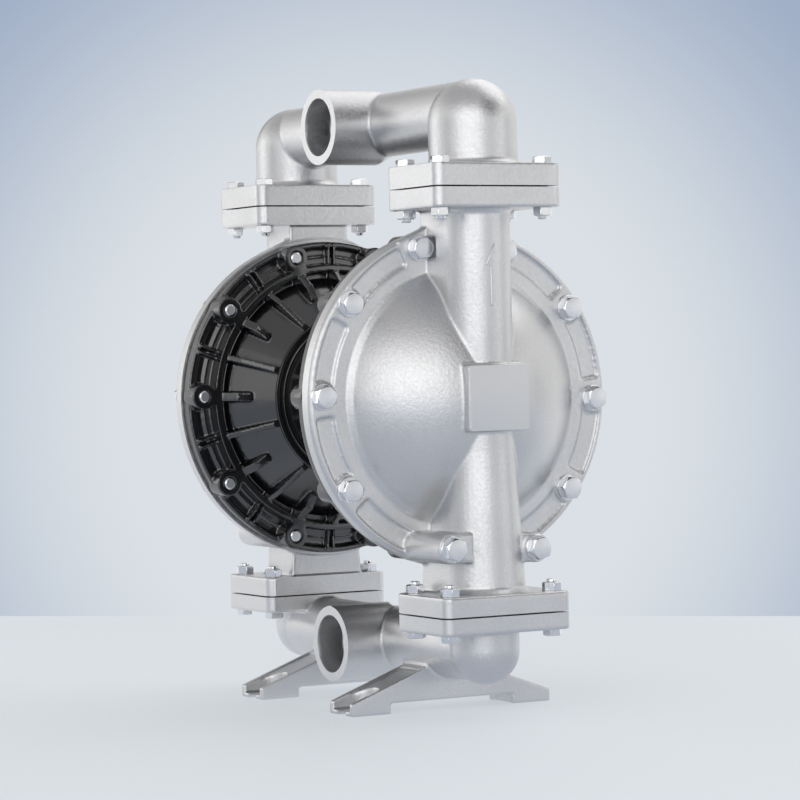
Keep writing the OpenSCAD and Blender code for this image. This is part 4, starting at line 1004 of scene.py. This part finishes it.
class PUMP_OT_stage(bpy.types.Operator):
    """Lays the floor, lights the pump and sets the camera"""

    bl_idname = "pump.stage"
    bl_label = "Stage"

    def execute(self, context):
        stage = context.scene.pump_stage
        self.set_camera(context, stage)
        self.lay_floor(context, stage)
        self.paint_background(stage)
        self.hang_lamps(stage)
        context.scene.view_settings.view_transform = "Standard"
        return {"FINISHED"}

    def lay_floor(self, context, stage):
        """Flat floor whose far edge is level in the picture."""
        camera = context.scene.camera
        left, right = (self.floor_point(camera, stage.lens, x, stage.far_edge) for x in (0, FRAME))
        along = (right - left).normalized()
        middle = (left + right) / 2
        towards = Vector((0, 0, 1)).cross(along)
        if towards.dot(camera.location - middle) < 0:
            towards.negate()
        bm = bmesh.new()
        bmesh.ops.create_grid(bm, x_segments=1, y_segments=1, size=stage.floor_width / 2)
        for vert in bm.verts:
            vert.co = middle + along * vert.co.x + towards * (vert.co.y + stage.floor_width / 2)
        bmesh.ops.recalc_face_normals(bm, faces=bm.faces[:])
        for face in bm.faces:
            if face.normal.z < 0:
                face.normal_flip()
        floor = new_object("floor", bm)
        floor.data.materials.append(floor_paint(stage))

    def floor_point(self, camera, lens, x, y):
        """Where the view through a pixel of the 800 pixel frame meets the floor."""
        ray = Vector(((x / FRAME - 0.5) * SENSOR, (0.5 - y / FRAME) * SENSOR, -lens))
        way = camera.matrix_world.to_3x3() @ ray
        start = camera.matrix_world.translation
        return start - way * (start.z / way.z)

    def paint_background(self, stage):
        """Pale glow behind the pump that the camera sees, and a plain room for all other rays."""
        world = bpy.data.worlds.new("studio")
        bpy.context.scene.world = world
        world.use_nodes = True
        tree = world.node_tree
        tree.nodes.clear()
        coordinates = tree.nodes.new("ShaderNodeTexCoord")
        way = coordinates.outputs["Generated"]
        height = tree.nodes.new("ShaderNodeSeparateXYZ")
        tree.links.new(way, height.inputs["Vector"])
        glow = self.blended(tree, self.apart(tree, way, GLOW_WAY), GLOW_SPAN, stage.glow, stage.dusk)
        room = self.blended(tree, height.outputs["Z"], CEILING_SPAN, stage.walls, stage.ceiling)
        for middle, span in PANELS:
            panel_way = tuple(around(*middle, 1, (0, 0, 0)))
            room = self.blended(tree, self.apart(tree, way, panel_way), span, stage.panel, room)
        seen = tree.nodes.new("ShaderNodeBackground")
        around_pump = tree.nodes.new("ShaderNodeBackground")
        path = tree.nodes.new("ShaderNodeLightPath")
        choice = tree.nodes.new("ShaderNodeMixShader")
        out = tree.nodes.new("ShaderNodeOutputWorld")
        tree.links.new(glow, seen.inputs["Color"])
        tree.links.new(room, around_pump.inputs["Color"])
        tree.links.new(path.outputs["Is Camera Ray"], choice.inputs["Fac"])
        tree.links.new(around_pump.outputs["Background"], choice.inputs[1])
        tree.links.new(seen.outputs["Background"], choice.inputs[2])
        tree.links.new(choice.outputs["Shader"], out.inputs["Surface"])

    def apart(self, tree, way, middle):
        """Distance on the unit sphere between a direction and a fixed one."""
        node = tree.nodes.new("ShaderNodeVectorMath")
        node.operation = "DISTANCE"
        node.inputs[1].default_value = middle
        tree.links.new(way, node.inputs[0])
        return node.outputs["Value"]

    def blended(self, tree, value, span, first, last):
        """Colour that runs smoothly from the first to the last, a colour or a socket, over a span."""
        ramp = tree.nodes.new("ShaderNodeMapRange")
        ramp.interpolation_type = "SMOOTHSTEP"
        ramp.inputs["From Min"].default_value, ramp.inputs["From Max"].default_value = span
        mix = tree.nodes.new("ShaderNodeMix")
        mix.data_type = "RGBA"
        tree.links.new(value, ramp.inputs["Value"])
        tree.links.new(ramp.outputs["Result"], mix.inputs[0])
        for socket, colour in ((mix.inputs[6], first), (mix.inputs[7], last)):
            if isinstance(colour, bpy.types.NodeSocket):
                tree.links.new(colour, socket)
            else:
                socket.default_value = (*colour, 1)
        return mix.outputs[2]

    def hang_lamps(self, stage):
        """Large soft lamps that point at the pump, each as bright for its size as its level says."""
        for name, level, azimuth, elevation, distance, width, height in SOFT_LAMPS:
            data = bpy.data.lights.new(name, "AREA")
            data.shape = "RECTANGLE"
            data.size, data.size_y = width, height
            data.energy = stage.lamp_level * level * math.pi * width * height
            light = bpy.data.objects.new(name, data)
            light.location = around(azimuth, elevation, distance)
            light.rotation_euler = (LAMP_AIM - light.location).to_track_quat("-Z", "Y").to_euler()
            bpy.context.scene.collection.objects.link(light)

    def set_camera(self, context, stage):
        """Camera at the photograph's viewing angle, turned by yaw, pitch and roll."""
        data = bpy.data.cameras.new("camera")
        data.lens = stage.lens
        data.sensor_width = SENSOR
        data.clip_start, data.clip_end = 0.05, 50
        yaw, pitch, roll = stage.camera_yaw, stage.camera_pitch, stage.camera_roll
        forward = Vector((-math.cos(yaw) * math.cos(pitch), math.sin(yaw) * math.cos(pitch), math.sin(pitch)))
        level = forward.cross(Vector((0, 0, 1))).normalized()
        upright = level.cross(forward)
        right = level * math.cos(roll) + upright * math.sin(roll)
        up = upright * math.cos(roll) - level * math.sin(roll)
        turn = Matrix((right, up, -forward)).transposed()
        camera = bpy.data.objects.new("camera", data)
        camera.matrix_world = Matrix.Translation(stage.camera_place) @ turn.to_4x4()
        context.scene.collection.objects.link(camera)
        context.scene.camera = camera


class PUMP_PT_panel(bpy.types.Panel):
    """Lists the pump's pieces and their settings"""

    bl_idname = "PUMP_PT_panel"
    bl_label = "Pump"
    bl_space_type = "VIEW_3D"
    bl_region_type = "UI"
    bl_category = "Pump"

    def draw(self, context):
        """Lists each group's settings, and a button for each operator."""
        for name in SETTINGS:
            group = getattr(context.scene, name)
            box = self.layout.box()
            for key in group.__annotations__:
                box.prop(group, key)
        for operator in OPERATORS:
            self.layout.operator(operator.bl_idname)


SETTINGS = {
    "pump_casting": CastingSettings,
    "pump_moulding": MouldingSettings,
    "pump_fasteners": FastenerSettings,
    "pump_stage": StageSettings,
}
OPERATORS = (
    PUMP_OT_fluid_covers,
    PUMP_OT_manifolds,
    PUMP_OT_air_covers,
    PUMP_OT_cover_bolts,
    PUMP_OT_flange_bolts,
    PUMP_OT_plates,
    PUMP_OT_inner_pieces,
    PUMP_OT_stage,
)


def register():
    """Adds the settings, the operators and the panel."""
    for name, group in SETTINGS.items():
        bpy.utils.register_class(group)
        setattr(bpy.types.Scene, name, PointerProperty(type=group))
    for operator in OPERATORS:
        bpy.utils.register_class(operator)
    bpy.utils.register_class(PUMP_PT_panel)


def unregister():
    """Takes the panel, the operators and the settings away again."""
    bpy.utils.unregister_class(PUMP_PT_panel)
    for operator in reversed(OPERATORS):
        bpy.utils.unregister_class(operator)
    for name, group in SETTINGS.items():
        delattr(bpy.types.Scene, name)
        bpy.utils.unregister_class(group)


def main():
    """Makes every piece and the stage."""
    register()
    bpy.ops.pump.fluid_covers()
    bpy.ops.pump.manifolds()
    bpy.ops.pump.air_covers()
    bpy.ops.pump.cover_bolts()
    bpy.ops.pump.flange_bolts()
    bpy.ops.pump.plates()
    bpy.ops.pump.inner_pieces()
    bpy.ops.pump.stage()


if __name__ == "__main__":
    main()
